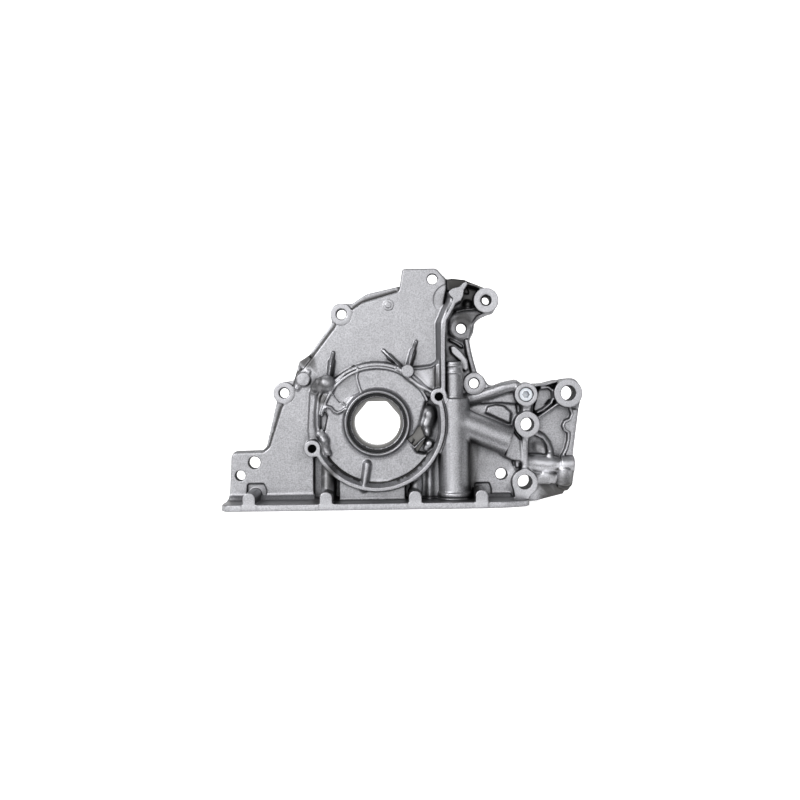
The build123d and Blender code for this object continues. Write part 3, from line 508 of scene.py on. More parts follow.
    # columns, strip rib and the arched tapped bosses
    c.ridge([[-41.9, -37.1], [-42.2, -55.4]], 13.4, -4, [-25, -31], er=6.0, k=1.5, draft=3)
    c.ridge([[32.7, -45.2], [32.5, -56.0]], 11.2, -4, [-25, -33], er=5.0, k=1.5, draft=3)
    c.prism([[35.4, -44.8, 1.3], [44.9, -30.5, 1.3], [54.3, -20.6, 1.3], [54.1, -64.4, 0.8], [35.1, -64.2, 0.8]], -4, -21.0, er=1.5, k=2.0, draft=3)
    c.ridge([[44.3, -29.3], [43.7, -41.2], [43.3, -61.6]], 7.1, -8, [-27, -25, -24], er=2.2, k=4.0, draft=6)
    c.sump_flange()
    for x in BOSS_X:
        c.prism([(x - 5.3, -70, 0), (x - 5.3, -54.9, 4.9), (x + 5.3, -54.9, 4.9), (x + 5.3, -70, 0)], -4, -49, er=0.3, k=1.2, draft=0.3)
    # relief valve tube and diagonal delivery pipe
    c.bar((65.0, -24, 10), (65.0, -24, 50.3), 7.1, er=1.0, k=1.2)
    c.bar((65.0, -24, 45.9), (65.0, -24, 47.9), 7.7, er=0.8, k=0.8)
    c.bar((65.0, -24, 40.2), (65.0, -24, 42.2), 7.6, er=0.8, k=0.8)
    c.bar((64.6, -22.8, -69), (64.6, -22.8, 19.5), 12.9, er=1.2, k=2.0)
    c.bar((64.6, -22.8, -62.6), (64.6, -22.8, -58.6), 14.2, er=1.4, k=1.2)

    def beside_ring(x, y, z):
        q = np.sqrt(x ** 2 + z ** 2)
        return np.maximum(np.maximum(57.3 - q, q - 58.8), y + 29.3)
    c.raw((40, -40, -48), (60, -27.5, 19), beside_ring, 1.0, "cut")
    c.block((53.5, -22, -69), (77.5, -2, 19), er=1.5, k=2.5)
    c.block((57.5, -22, 15), (72.5, -2, 50), er=1.5, k=2.0)
    c.bar((65.2, -22, 1.5), (110.5, -22, -17.4), 12.4, er=1.0, k=2.6)
    # floor plates right of the valve tube
    c.prism([[72.3, 14.4, 1.7], [87.7, 15.9, 2.6], [106.5, 17.4, 2.6], [118.5, 13.8, 2.6], [121.6, -8.5, 2.6], [121.3, -29.8, 2.6], [110.9, -35.7, 2.6], [76.8, -33.5, 2.6]], -2, -9, er=0.8, k=1.5)
    c.prism([[74.0, -2.0, 1.7], [100.0, -14.0, 2.6], [113.0, -30.0, 3.4], [117.5, -45.0, 3.4], [117.5, -61.0, 2.6], [117.0, -70.4, 0.9], [74.0, -69.9, 0.9]], -2, -12.5, er=1.2, k=1.8, draft=2.5)
    c.cyl(123.6, -52.0, 14.4, -4, -12.6, er=1.5, k=4.0, draft=8)
    c.cyl(113.0, -18.5, 13.5, 0, -16, er=1.5, k=2.5)
    c.prism([[80.8, -69.2, 0.7], [81.5, -52.3, 2.6], [95.0, -52.0, 2.6], [96.9, -58.3, 1.7], [96.8, -69.4, 0.7]], -14.0, -10.4, er=0.6, k=0.9, draft=16, mode='cut')
    # light face of the pipe's end and the web to the vertical rib
    c.ridge([[118.1, -29.3], [118.0, -38.6]], 5.2, -3, [-17.5, -18.5], er=1.4, k=1.6, draft=5)
    c.prism([[112.7, -31.4, 1.3], [123.8, -31.6, 1.3], [123.6, -43.5, 1.3], [114.3, -41.7, 1.3]], -3, -10.5, er=0.8, k=1.5, draft=4)
    c.prism([[110.8, -6.1, 1.7], [115.0, -8.6, 1.7], [120.8, -16.3, 2.5], [121.8, -34.8, 0.8], [112.9, -33.9, 1.7], [106.7, -30.4, 1.7], [109.8, -16.1, 1.7]], -4, -20.5, er=1.2, k=2.5, draft=3)
    # pad above the pipe
    c.prism([[91.0, 6.2, 1.7], [93.2, 12.5, 2.5], [100.9, 14.6, 3.4], [108.5, 13.2, 3.4], [115.2, 7.1, 2.5], [114.2, -3.0, 1.7], [111.2, -3.4, 0.8]], -4, -11.6, er=1.4, k=2.0, draft=10)
    # upper arm: boss, hole boss, webs
    c.cyl(93.6, 102.2, 10.75, 0, -17.5, er=0.2, k=1.2, draft=0.6)
    c.cyl(72.6, 78.9, 10.8, -2, -9.6, er=2.2, k=4.5, draft=18)
    c.ridge([[78.4, 115.9], [84.5, 114.4], [90.4, 112.0]], 4.4, -5, [-20, -16.5, -15], er=1.4, k=2.0, draft=9)
    c.ridge([[68.2, 93.0], [75.1, 94.8], [81.9, 95.0], [88.8, 97.8], [93.9, 100.3]], 4.8, -4, [-13.5, -13.8, -13.2, -13.5, -15], er=1.6, k=3.2, draft=14)
    c.ball((78.3, -8.5, 99.5), 3.40, k=3.0)
    c.ridge([[94.0, 91.9], [86.7, 88.6], [82.4, 82.7], [80.9, 76.7], [78.1, 69.9]], 2.2, -4, [-13, -10.5, -9.5, -9.5, -9], er=0.9, k=1.6, draft=3)
    c.prism([[62.4, 88.2, 2.6], [67.6, 92.4, 2.6], [87.3, 93.0, 1.7], [94.1, 91.2, 0.9], [83.7, 84.5, 2.6], [81.0, 74.2, 2.6], [63.0, 72.8, 2.6]], -3, -7.6, er=0.8, k=3.0, draft=8)
    # slanted facet and the wall down to the right ear
    c.prism([[62.2, 63.6, 0.9], [66.4, 64.4, 1.7], [72.5, 58.7, 2.1], [77.3, 52.3, 2.6], [78.2, 44.6, 1.7], [75.5, 41.7, 1.3], [72.4, 44.3, 1.7], [70.9, 50.7, 2.6], [63.4, 57.6, 1.7]], -5, -16.5, er=1.0, k=1.0, draft=2)
    c.ridge([[63.3, 69.3], [68.4, 66.6], [72.7, 63.6]], 3.1, -5, [-10.8, -10.4, -10], er=1.2, k=1.6, draft=8)
    c.ridge([[77.0, 68.0], [78.5, 58.7], [80.5, 50.1], [82.7, 42.4]], 6.0, -4, [-13.5, -13.5, -13, -12], er=1.4, k=1.4, draft=7)
    # ears
    c.cyl(-79.7, 25.8, 9.42, 1.5, -9, er=0.3, k=1.2, draft=0.4)
    c.cyl(-29.8, 92.6, 9.42, 1.5, -9, er=0.3, k=1.2, draft=0.4)
    c.cyl(83.1, 31.7, 9.42, 1.5, -9, er=0.3, k=1.2, draft=0.4)
    # bracket: four bosses, ribs and walls
    c.cyl(125.8, 21.9, 9.85, 0, -23.5, er=0.2, k=1.3, draft=0.5)
    c.cyl(126.3, -3.3, 10.86, 0, -23.5, er=0.2, k=1.3, draft=0.5)
    c.cyl(123.6, -51.9, 10.86, 0, -23.5, er=0.2, k=1.3, draft=0.5)
    c.cyl(161.2, 22.5, 12.03, 0, -23.5, er=0.2, k=1.3, draft=0.5)
    c.prism([[113.7, -53.2, 0.8], [114.9, -64.6, 1.3], [126.4, -65.6, 1.7], [134.6, -53.5, 2.5]], 0, -22.0, er=0.5, k=1.2, draft=0.5)
    c.ridge([[75.4, 17.5], [85.7, 20.1], [97.6, 23.9], [107.8, 27.6], [117.2, 29.5]], 11.5, -3, [-12.0, -14.5, -17.0, -19.0, -20], er=4.0, k=2.6, draft=5)
    c.ridge([[91.2, 30.8], [100.5, 26.4], [109.9, 27.2], [116.7, 30.0]], 3.4, -3, [-9.5, -11.5, -15, -18], er=1.0, k=2.0, draft=4)
    c.prism([[88.5, 19.8, 1.7], [102.2, 23.4, 3.4], [118.4, 25.8, 1.7], [119.1, 13.0, 1.7], [104.6, 14.4, 3.4], [87.5, 13.8, 1.7]], -3, -12.8, er=1.0, k=1.8, draft=6)
    c.rib([[126.2, 13.9], [126.3, 6.3]], 8.6, -3, -20.5, er=1.4, k=3.0, draft=3)
    c.rib([[124.7, -13.1], [124.1, -43.5]], 7.0, -3, -20.5, er=1.6, k=4.0, draft=3.5)
    c.ridge([[152.7, 13.9], [144.2, 7.8], [136.5, 2.7]], 4.7, -3, [-20.5, -19.5, -20], er=1.3, k=2.4, draft=6)
    c.ridge([[134.2, 29.4], [142.2, 30.0], [151.6, 32.4]], 3.7, -3, [-20, -19, -20], er=1.0, k=2.0, draft=4)
    c.ridge([[139.3, 27.2], [145.6, 27.8], [149.1, 24.9], [149.8, 19.0], [147.6, 14.2], [140.7, 8.8], [135.6, 6.6]], 4.4, -3, [-17, -17, -17, -17, -17, -17.5, -18.5], er=1.2, k=1.8, draft=6)
    c.prism([[137.7, 27.2, 1.7], [148.0, 27.5, 1.7], [148.3, 18.5, 2.6], [140.1, 9.2, 2.6], [132.3, 6.7, 1.7]], -1, -10.5, er=0.6, k=1.5, draft=4)
    c.ridge([[164.1, 9.8], [166.0, 4.7], [164.4, 0.5], [159.8, -1.6], [158.0, -5.0], [159.3, -8.8], [162.7, -10.6], [162.4, -17.3], [160.4, -25.0], [157.3, -30.9]], 2.6, -2, [-14, -14, -14, -14, -14, -14, -14, -14, -14, -14], er=0.7, k=1.0, draft=2)
    c.prism([[164.8, 8.9, 0.9], [166.9, 4.7, 1.7], [165.1, -0.4, 1.7], [160.4, -2.5, 1.7], [159.1, -5.4, 1.7], [160.3, -8.4, 1.7], [163.9, -10.2, 1.7], [163.6, -17.4, 1.7], [161.5, -25.5, 1.7], [157.9, -32.7, 0.9], [166.0, -32.8, 0.9], [167.4, -17.5, 0.9], [171.5, 8.9, 1.7]], -1, -12.6, er=0.8, k=0.8, draft=1.5)
    c.prism([[140.1, -9.8, 1.7], [148.7, -7.3, 2.6], [159.4, -10.0, 2.6], [161.9, -14.4, 1.7], [159.5, -24.6, 1.7], [156.5, -29.8, 1.7], [144.1, -28.7, 2.6], [130.4, -26.4, 2.6], [129.7, -15.6, 1.7]], -3, -6.2, er=0.4, k=1.4, draft=6)
    c.ridge([[134.6, -11.2], [140.5, -14.5], [144.5, -19.8], [146.5, -25.6], [146.8, -30.7]], 7.6, -2, [-16.5, -16, -15.5, -15.0, -15.0], er=2.6, k=1.6, draft=8)
    c.ball((145.9, -13.5, -30.3), 2.89, k=1.6)
    c.ball((137.2, -10.0, -22.4), 7.0, k=2.0, mode='cut', s=(1.0, 0.8, 1.2))
    # horizontal galleries and the end block
    c.bar((124, -13.0, -36.4), (157, -12.5, -39.0), 7.6, er=0.8, k=2.2, r1=6.4)
    c.bar((155, -12.5, -38.0), (166.6, -12.5, -38.2), 7.6, er=1.2, k=1.0)
    c.bar((128, -12.0, -48.4), (147.5, -12.0, -50.0), 5.6, er=3.0, k=2.0)
    c.bar((158.7, -14.5, -39.4), (156.4, -14.0, -55.5), 6.9, er=3.0, k=0.5)
    c.bar((138.0, -13.0, -45.1), (151.9, -12.5, -50.8), 4.8, er=2.0, k=0.8)
    c.prism([[153.8, -36.7, 0.9], [167.2, -35.6, 0.9], [167.7, -47.3, 2.6], [166.3, -55.9, 3.4], [161.2, -62.2, 3.4], [152.6, -58.2, 1.7]], 0, -9.5, er=1.2, k=1.6, draft=3)
    c.ridge([[129.3, -29.0], [142.0, -30.3], [152.2, -31.7]], 1.9, -2, [-14, -13.5, -15], er=0.7, k=1.2, draft=3)
    c.prism([[131.0, -55.3, 1.7], [143.1, -53.7, 2.6], [159.5, -61.7, 1.7], [158.0, -64.2, 1.7], [135.7, -68.9, 3.4], [129.1, -69.4, 0.9]], 0, -6.0, er=0.6, k=1.0, draft=3)


def machine_front(c):
    """Milled faces, drilled holes and the seal seat, as seen from the front."""
    for x, z, r in BOSSES:
        c.face(x, z, r + 0.8, -22.0)
    c.cyl(123.6, -60.5, 11.0, -22.0, -30, er=0, k=0, mode="cut", mill=True)
    for x, z in EARS:
        c.face(x, z, 9.6, -8.0, 14)
    c.face(93.6, 102.2, 11.0, -16.0)
    c.cyl(72.6, 79.0, 8.0, -9.0, -12, er=0, k=0, mode='cut')

    def flat31(x, y, z):
        q = np.sqrt(x ** 2 + z ** 2)
        return np.maximum(np.maximum(y + 31.0, 36.0 - q), q - 57.6)
    c.raw((-66, -42, -62), (66, -31, 60), flat31, 0, "cut")
    c.face(-54.3, -20.7, 8.0, -31.0)
    c.face(51.9, 21.2, 8.0, -31.0)
    c.prism([(46, 24, 0), (46, 90, 0), (56, 122, 0), (80, 122, 0), (80, 90, 0), (62, 90, 0), (58.6, 60, 0), (58.4, 24, 0)], -31.0, -40, er=0, k=0,
            draft=0, mode="cut")
    c.cyl(0, 0, 33.0, -33.0, -40, er=0, k=0, mode="cut", mill=True)
    for x in BOSS_X:
        c.block((x - 6.2, -56, -72), (x + 6.2, -48.0, -52), er=0, k=0, mode="cut", mill=True)
    c.block((-140, -60, -80), (140, -48.4, -60), er=0, k=0, mode="cut")

    # crank seal seat, neck, and the step between them
    c.cyl(0, 0, 25.0, -24.0, -36, er=0, k=0, mode="cut", mill=2)
    c.cyl(0, 0, 25.0, -32.0, -33.6, er=0, k=0, mode="cut", mill=True, r1=26.4)
    c.cyl(0, 0, 21.5, -17, -36, er=0, k=0, mode="cut", mill=2)
    c.cyl(0, 0, 21.5, -23.3, -24.2, er=0, k=0, mode="cut", mill=True, r1=22.4)

    # bolt holes right through
    c.drill(48.4, 121.1, 4.3, 2, -20, 0.5, front=-12.5, rear=-7.0)
    c.drill(72.6, 79.0, 4.3, 2, -20, 0.5, front=-9.0, rear=0)
    for x, z in EARS:
        c.drill(x, z, 4.25, 2, -20, 0.5, front=-8.0, rear=0)
    c.drill(-105.3, -33.0, 5.1, 2, -20, 0.5, front=-12.5, rear=-3.5)
    c.drill(-117.4, -43.9, 4.25, 2, -20, 0.5, front=-12.5, rear=-3.5)
    c.drill(104.6, -45.4, 4.75, 2, -20, 0.5, front=-12.5, rear=-4.0)
    c.drill(93.6, 102.2, 3.45, 2, -30, 1.5, front=-16.0, rear=0)
    c.drill(126.3, -3.3, 5.6, 2, -30, 0.35, front=-22.0, rear=-4.5)
    c.drill(123.6, -51.7, 6.0, 2, -30, 0.35, front=-22.0, rear=0)
    c.drill(161.2, 22.7, 6.2, 2, -30, 0.35, front=-22.0, rear=0)
    # tapped holes: lugs, sump bosses from below
    for x, z in ((-54.3, -20.7), (51.9, 21.2)):
        c.drill(x, z, 3.35, -15, -40, 0.3, front=-31.0)
    for x in BOSS_X:
        c.bar((x, -42.0, -71), (x, -42.0, -58), 2.6, er=0, k=0, mode="cut", mill=True)
    # plug seat in the upper bracket boss, with its spot face
    c.cyl(125.8, 21.9, 5.95, -17, -30, er=0, k=0, mode="cut", mill=2)
    c.cyl(125.8, 21.9, 5.05, -6, -30, er=0, k=0, mode="cut", mill=2)
    c.cyl(125.8, 21.9, 5.95, -21.4, -22.4, er=0, k=0, mode="cut", mill=True, r1=6.6)


def machine_rear(c):
    """Recesses open to the block, gerotor chamber, galleries, ports and the milled joint faces."""
    body = (0, 0, 64.0)
    c.pocket([(-48, 55, 4), (-24, 84, 6), (-9, 94, 8), (22, 103.5, 4), (28, 116, 4), (40, 116, 3),
              (42, 108, 5), (51, 100, 4), (51, 70, 4), (51, 40, 4), (40, 30, 2), (-30, 30, 2), (-52, 40, 3)], -8.5,
             keep=(body, (((-25, 60), (-10, 90)), 3.0), (((12, 62), (16, 100)), 3.0), (((38, 55), (44, 98)), 3.0),
                   (((0, 62), (48, 74)), 3.0)))
    c.pocket([(-90, -22, 3), (-80, 8, 3), (-70, 24, 4), (-60, 30, 3), (-58, 28, 2), (-58, -60, 2),
              (-118, -60, 3), (-118, -52, 3), (-96, -50, 6), (-94, -26, 3)], -8.5,
             keep=(body, (-105.3, -33.0, 10.5), (-79.7, 25.8, 9.5), (((-90, -20), (-62, -34)), 3.0), (((-88, -60), (-84, -30)), 3.0)))
    c.pocket([(64, 62, 2), (74, 62, 3), (72, 66, 2), (64, 68, 2)], -4)
    c.pocket([(84, 20, 3), (112, 20, 3), (113, 2, 3), (98, -3, 3), (84, 4, 3)], -5)
    c.pocket([(141, 8, 3), (157, 12, 3), (152, -2, 3), (154, -24, 3), (141, -26, 3)], -3.2)
    c.block((20, -7.0, 115.5), (57.5, 6, 140), er=0, k=0, mode="cut", mill=True)
    c.pocket([(-122, -56, 3), (-92, -56, 3), (-92, -28.5, 4), (-121, -28.5, 4)], -3.5)
    c.pocket([(86, -62, 3), (109, -62, 3), (107, -36, 4), (98, -32.5, 4), (86, -34, 3)], -4.0)
    for x, z, r, y in ((126.3, -3.3, 8.6, -4.5), (-105.3, -33.0, 7.2, -3.5), (-117.4, -43.9, 6.2, -3.5), (104.6, -45.4, 7.0, -4.0)):
        c.cyl(x, z, r, 3, y, er=0, k=0, mode="cut", mill=True)

    # cover plate recess, rotor chamber, port pockets
    c.cyl(0, 0, 56.25, 3, -5.0, er=0, k=0, mode="cut", mill=True)
    c.cyl(0, 3.2, 43.85, 3, -19.1, er=0, k=0, mode="cut", mill=True)
    for s in (-1, 1):
        wedge = np.array([(s * 8, 34), (s * 60, 60), (s * 60, -60), (s * 8, -30), (s * 5, 0)], float)

        def kidney(x, y, z, wedge=wedge):
            q = np.sqrt(x ** 2 + (z - 1.6) ** 2)
            return slab_of(np.maximum(np.maximum(q - 37.5, 27.5 - q), poly2(x, z, wedge)), y, -12, -22, 0)
        c.raw((-60, -22, -42), (60, -12, 42), kidney, 0, "cut")
    c.bar((-12, -14.5, -71), (-12, -14.5, -50), 7.5, er=0, k=0, mode="cut", mill=True)
    c.block((-19, -22, -52), (-5, -15.6, -30), er=0.6, k=0, mode="cut")
    c.bar((65.2, -22, 1.5), (110.5, -22, -17.6), 6.0, er=0, k=0, mode="cut")
    c.cyl(113.0, -18.5, 7.0, 3, -17, er=0, k=0, mode="cut", mill=True)

    def seal_groove(x, y, z):
        q = np.sqrt((x - 113.0) ** 2 + (z + 18.5) ** 2)
        return np.maximum(np.abs(q - 9.7) - 1.35, -2.4 - y)
    c.raw((101, -2.4, -31), (125, 3, -6), seal_groove, 0, "cut", True)

    def pickup_groove(x, y, z):
        q = np.sqrt((x + 12.0) ** 2 + (y + 14.5) ** 2)
        return np.maximum(np.abs(q - 10.0) - 1.35, z + 67.6)
    c.raw((-24, -26.5, -73), (0, -2.5, -67.6), pickup_groove, 0, "cut", True)

    # valve bore, feed gallery and its cup seat, side gallery
    vx, vy = 65.2, -24.0
    c.bar((vx, vy, -71), (vx, vy, 6), 8.0, er=0, k=0, mode="cut", mill=True)
    c.bar((vx, vy, -71), (vx, vy, -56), 8.7, er=0, k=0, mode="cut", mill=True)
    c.bar((vx, vy, -73), (vx, vy, -66.4), 10.9, er=0, k=0, mode="cut", mill=True)
    c.bar((vx, vy, 5), (vx, vy, 60), 2.5, er=0, k=0, mode="cut", mill=True)
    c.bar((vx, vy, 44), (vx, vy, 60), 4.55, er=0, k=0, mode="cut", mill=True)
    c.bar((vx, vy, 49.6), (vx, vy, 51.0), 4.55, er=0, k=0, mode="cut", mill=True, r1=5.4)
    c.bar((124, -12.5, -38.0), (175, -12.5, -38.0), 3.5, er=0, k=0, mode="cut", mill=True)
    c.bar((155, -12.5, -38.0), (178, -12.5, -38.0), 6.1, er=0, k=0, mode="cut", mill=True)
    for x in (-27, 3):
        c.bar((x, -14.5, -71), (x, -14.5, -58), 2.6, er=0, k=0, mode="cut", mill=True)
    for a in range(8):
        t = math.radians(22.5 + 45 * a)
        c.cyl(50.4 * math.cos(t), 50.4 * math.sin(t), 2.05, -4, -15, er=0, k=0, mode="cut", mill=True)
    for s in (-1, 1):
        c.cyl(50.4 * s, 0, 2.05, -4, -10, er=0, k=0, mode="cut", mill=True)

    # joint faces, milled last
    c.block((-140, 0.0, -80), (190, 12, 140), er=0, k=0, mode="cut", mill=True)
    c.block((-140, -60, -90), (140, 12, -70.0), er=0, k=0, mode="cut", mill=True)


# ---------------------------------------------------------------- casting mesh
# painted shade (positive strength) and painted highlight (negative strength) spots on the casting: x, y, z, radius,
# strength
PAINTED_SHADE_HIGHLIGHT_SPOTS = ((80.6, -8.0, 105.9, 13.0, 0.80), (84.1, -8.0, 113.6, 8.0, 0.60), (70.9, -8.0, 118.0, 12.0, 0.97), (76.8, -9.0, 81.9, 13.0, 0.50), (62.1, -9.0, 71.9, 6.0, 0.60), (82.0, -9.0, 91.3, 8.0, 0.35), (61.2, -20.0, 51.9, 6.0, 0.70), (-49.5, -22.0, 31.5, 9.5, 0.55), (-50.0, -20.0, -1.4, 9.0, 0.25), (-42.5, -22.0, -19.1, 10.0, 0.25), (-51.9, -16.0, -48.2, 9.0, 0.45), (-59.2, -9.0, 53.9, 7.5, 0.75), (160.0, -16.0, -57.1, 13.0, 0.62), (165.6, -14.0, -42.9, 7.0, 0.45), (152.2, -6.0, -66.6, 16.0, 0.85), (140.6, -10.0, -54.9, 8.0, 0.50), (173.3, -14.0, 18.2, 9.0, 0.45), (164.9, -14.0, 23.4, 7.0, 0.30), (139.3, -10.0, -22.4, 8.0, 0.40), (121.7, -12.0, 16.3, 6.0, 0.40), (45.5, -18.0, 5.7, 9.0, 0.35), (47.3, -10.0, -62.1, 8.0, 0.30), (-126.7, -30.0, -64.0, 7.0, 0.35), (129.0, -30.0, -68.4, 7.0, 0.45), (79.1, -16.0, -16.1, 10.0, 0.70), (78.1, -16.0, -33.0, 9.0, 0.80), (77.8, -16.0, -48.3, 9.0, 0.80), (78.0, -18.0, -60.0, 9.0, 0.80), (78.7, -14.0, 0.8, 7.0, 0.50),
        (50.5, -27.0, -33.4, 4.0, 0.60), (50.4, -27.0, -40.1, 4.0, 0.60), (50.3, -27.0, -46.8, 4.0, 0.60), (50.2, -27.0, -53.5, 4.0, 0.60), (50.1, -27.0, -60.2, 4.0, 0.60), (74.3, -27.0, -33.8, 5.0, 0.45), (74.2, -27.0, -41.3, 5.0, 0.45), (74.1, -27.0, -48.8, 5.0, 0.45), (74.0, -27.0, -56.3, 5.0, 0.45), (60.3, -35.0, -14.7, 5.0, -0.45), (60.2, -35.0, -24.6, 5.0, -0.45), (60.1, -35.0, -34.6, 5.0, -0.45), (59.9, -35.0, -44.5, 5.0, -0.45), (59.8, -35.0, -54.4, 5.0, -0.45),
        (-39.8, -14.0, 51.8, 2.6, 0.55), (-39.9, -14.0, 46.7, 2.6, 0.55), (-39.9, -14.0, 41.6, 2.6, 0.55), (-46.9, -14.0, 50.2, 1.8, 0.50), (-47.0, -14.0, 44.2, 1.8, 0.50), (-47.0, -14.0, 39.1, 1.8, 0.50), (32.4, -14.0, 64.4, 2.4, 0.50), (32.3, -14.0, 59.3, 2.4, 0.50), (32.2, -14.0, 54.2, 2.4, 0.50),
        (-46.7, -26.0, -38.8, 6.0, 0.70), (-42.3, -30.0, -48.5, 7.0, 0.65), (-39.0, -28.0, -40.4, 6.0, 0.70), (-102.6, -12.0, -55.5, 5.0, -0.60), (86.5, -12.0, -58.2, 5.0, -0.60), (39.1, -20.0, 35.3, 8.0, -1.00), (50.8, -24.0, 41.9, 5.0, 0.75), (50.7, -24.0, 32.6, 5.0, 0.75), (68.3, -17.0, 58.7, 7.0, -0.40), (74.5, -17.0, 48.4, 6.0, -0.35), (147.3, -12.0, -39.8, 3.0, 0.90), (142.3, -10.0, -55.7, 5.0, 0.80), (152.0, -9.0, -44.9, 3.0, 0.90), (162.1, -14.0, -49.6, 6.0, 0.70), (42.8, -24.0, -50.4, 4.0, -0.50), (75.0, -9.0, 77.7, 6.0, 0.35),
        (39.9, -20.0, 34.5, 5.5, -0.55), (137.5, -21.0, -31.8, 6.0, -0.90), (144.4, -20.0, -34.5, 5.0, -0.80), (154.7, -21.0, -38.7, 4.0, -0.80), (151.6, -16.0, -40.8, 2.4, 0.95), (156.0, -14.0, -60.6, 6.0, 0.90), (143.2, -10.0, -52.3, 4.5, 0.90), (117.6, -11.0, -36.5, 3.0, -0.50), (50.7, -24.0, 37.7, 5.0, 0.45), (53.3, -28.0, 83.5, 3.4, 0.40), (53.2, -28.0, 74.4, 3.4, 0.40), (53.1, -28.0, 65.2, 3.4, 0.40), (52.9, -28.0, 56.0, 3.4, 0.40), (-45.7, -23.0, 20.5, 5.0, 0.75), (-43.2, -28.0, -42.9, 9.0, 0.45), (42.8, -24.0, 7.6, 7.0, 0.35), (159.7, -13.0, -57.4, 8.0, 0.90), (164.7, -12.0, -43.1, 4.5, 0.90), (54.7, -12.0, 104.2, 7.0, 0.35), (142.0, -18.0, -44.7, 3.5, -0.70), (75.1, -9.0, 86.2, 8.5, 0.75), (83.7, -9.0, 87.8, 5.0, 0.60))


def build_casting():
    c = Caster(STEP)
    cast_front(c)
    machine_front(c)
    machine_rear(c)
    F = c.F
    f = np.clip(F.f, -3 * STEP, 3 * STEP).astype(np.float32)
    grid = openvdb.FloatGrid(3 * STEP)
    grid.copyFromArray(f)
    pts, tris, quads = grid.convertToPolygons(isovalue=0.0, adaptivity=0.0)
    pts = np.asarray(pts, np.float64) * STEP + LO
    quads = np.asarray(quads, np.int64)
    tris = np.asarray(tris, np.int64).reshape(-1, 3)
    a = np.concatenate([tris, quads[:, [0, 1, 2]], quads[:, [0, 2, 3]]])

    def grad(p, e=0.45 * STEP + 0.2):
        g = np.empty((len(p), 3), np.float32)
        for i in range(3):
            d = np.zeros(3)
            d[i] = e
            g[:, i] = F.sample(p + d) - F.sample(p - d)
        g /= np.maximum(np.linalg.norm(g, axis=1, keepdims=True), 1e-9)
        return g

    # winding: outward means growing distance
    s = a[:: max(1, len(a) // 2000)]
    n = np.cross(pts[s[:, 1]] - pts[s[:, 0]], pts[s[:, 2]] - pts[s[:, 0]])
    if (n * grad(pts[s].mean(1))).sum(1).mean() < 0:
        a = a[:, ::-1]
    # raw mesh from the grid, decimated below
    me = bpy.data.meshes.new("cast_raw")
    me.vertices.add(len(pts))
    me.vertices.foreach_set("co", (pts * 0.001).ravel().astype(np.float32))
    me.loops.add(len(a) * 3)
    me.loops.foreach_set("vertex_index", a.ravel().astype(np.int32))
    me.polygons.add(len(a))
    me.polygons.foreach_set("loop_start", np.arange(0, len(a) * 3, 3, dtype=np.int32))
    me.update(calc_edges=True)
    me.validate()
    ob = bpy.data.objects.new("pump_housing_cast", me)
    bpy.context.scene.collection.objects.link(ob)
    print("casting raw faces", len(me.polygons))
    mod = ob.modifiers.new("dec", "DECIMATE")
    mod.ratio = min(1.0, FACES / len(me.polygons))
    mod.use_collapse_triangulate = True
    dg = bpy.context.evaluated_depsgraph_get()
    new = bpy.data.meshes.new_from_object(ob.evaluated_get(dg))
    ob.modifiers.clear()
    ob.data = new
    new.name = "pump_housing_cast"
    bpy.data.meshes.remove(me)
    me = new
    nv, npoly = len(me.vertices), len(me.polygons)
    print("casting faces", npoly)
    co = np.empty(nv * 3, np.float32)
    me.vertices.foreach_get("co", co)
    co = co.reshape(-1, 3).astype(np.float64) * 1000
    li = np.empty(npoly * 3, np.int32)
    me.loops.foreach_get("vertex_index", li)
    tri = li.reshape(-1, 3)
    P = co[tri]
    cen = P.mean(1)
    fn = np.cross(P[:, 1] - P[:, 0], P[:, 2] - P[:, 0])
    fn /= np.maximum(np.linalg.norm(fn, axis=1, keepdims=True), 1e-12)

    # machined faces
    mach = np.zeros(npoly, np.float32)
    tol = 0.16 * STEP + 0.06
    for lo, hi, fun, kind in c.cuts:
        m = np.all((cen > np.array(lo) - 0.3) & (cen < np.array(hi) + 0.3), axis=1)
        idx = np.nonzero(m)[0]
        if len(idx):
            q = cen[idx]
            d = np.abs(np.broadcast_to(fun(q[:, 0], q[:, 1], q[:, 2]), (len(idx),)))
            mach[idx[d < tol]] = int(kind)

    # corner normals from the distance field, pulled towards each face so edges stay crisp
    ln = np.empty((npoly, 3, 3), np.float32)
    for j in range(3):
        p = co[tri[:, j]] * 0.72 + cen * 0.28
        g = grad(p)
        bad = (g * fn).sum(1) < 0.84
        g[bad] = fn[bad]
        ln[:, j] = g
    flat = mach > 0.1
    for j in range(3):
        near = flat & ((ln[:, j] * fn).sum(1) > 0.97)
        ln[near, j] = fn[near]
    me.polygons.foreach_set("use_smooth", np.ones(npoly, bool))
    me.normals_split_custom_set(ln.reshape(-1, 3))

    # broad shading masks: how buried a point is, and whether it sits on an outer edge
    vn = grad(co, 0.9)
    occ = np.zeros(nv, np.float32)
    for d, w in ((1.2, .24), (2.6, .24), (5.0, .22), (9.0, .16), (15.0, .14)):
        occ += w * np.clip(1 - F.sample(co + vn * d) / d, 0, 1)
    edge = np.zeros(nv, np.float32)
    for d, w in ((0.9, .6), (1.8, .4)):
        edge += w * np.clip((F.sample(co - vn * d) + d) / d, -1, 1)
    # painted shade and painted highlight mask from the spot table
    painted_shade_highlight = np.zeros(nv, np.float32)
    for x, y, z, r, w in PAINTED_SHADE_HIGHLIGHT_SPOTS:
        q = np.sqrt((co[:, 0] - x) ** 2 + ((co[:, 1] - y) * 0.6) ** 2 + (co[:, 2] - z) ** 2)
        t = np.clip((r * 1.35 - q) / (r * 0.75), 0, 1)
        v = w * t * t * (3 - 2 * t)
        painted_shade_highlight = np.where(np.abs(v) > np.abs(painted_shade_highlight), v, painted_shade_highlight)
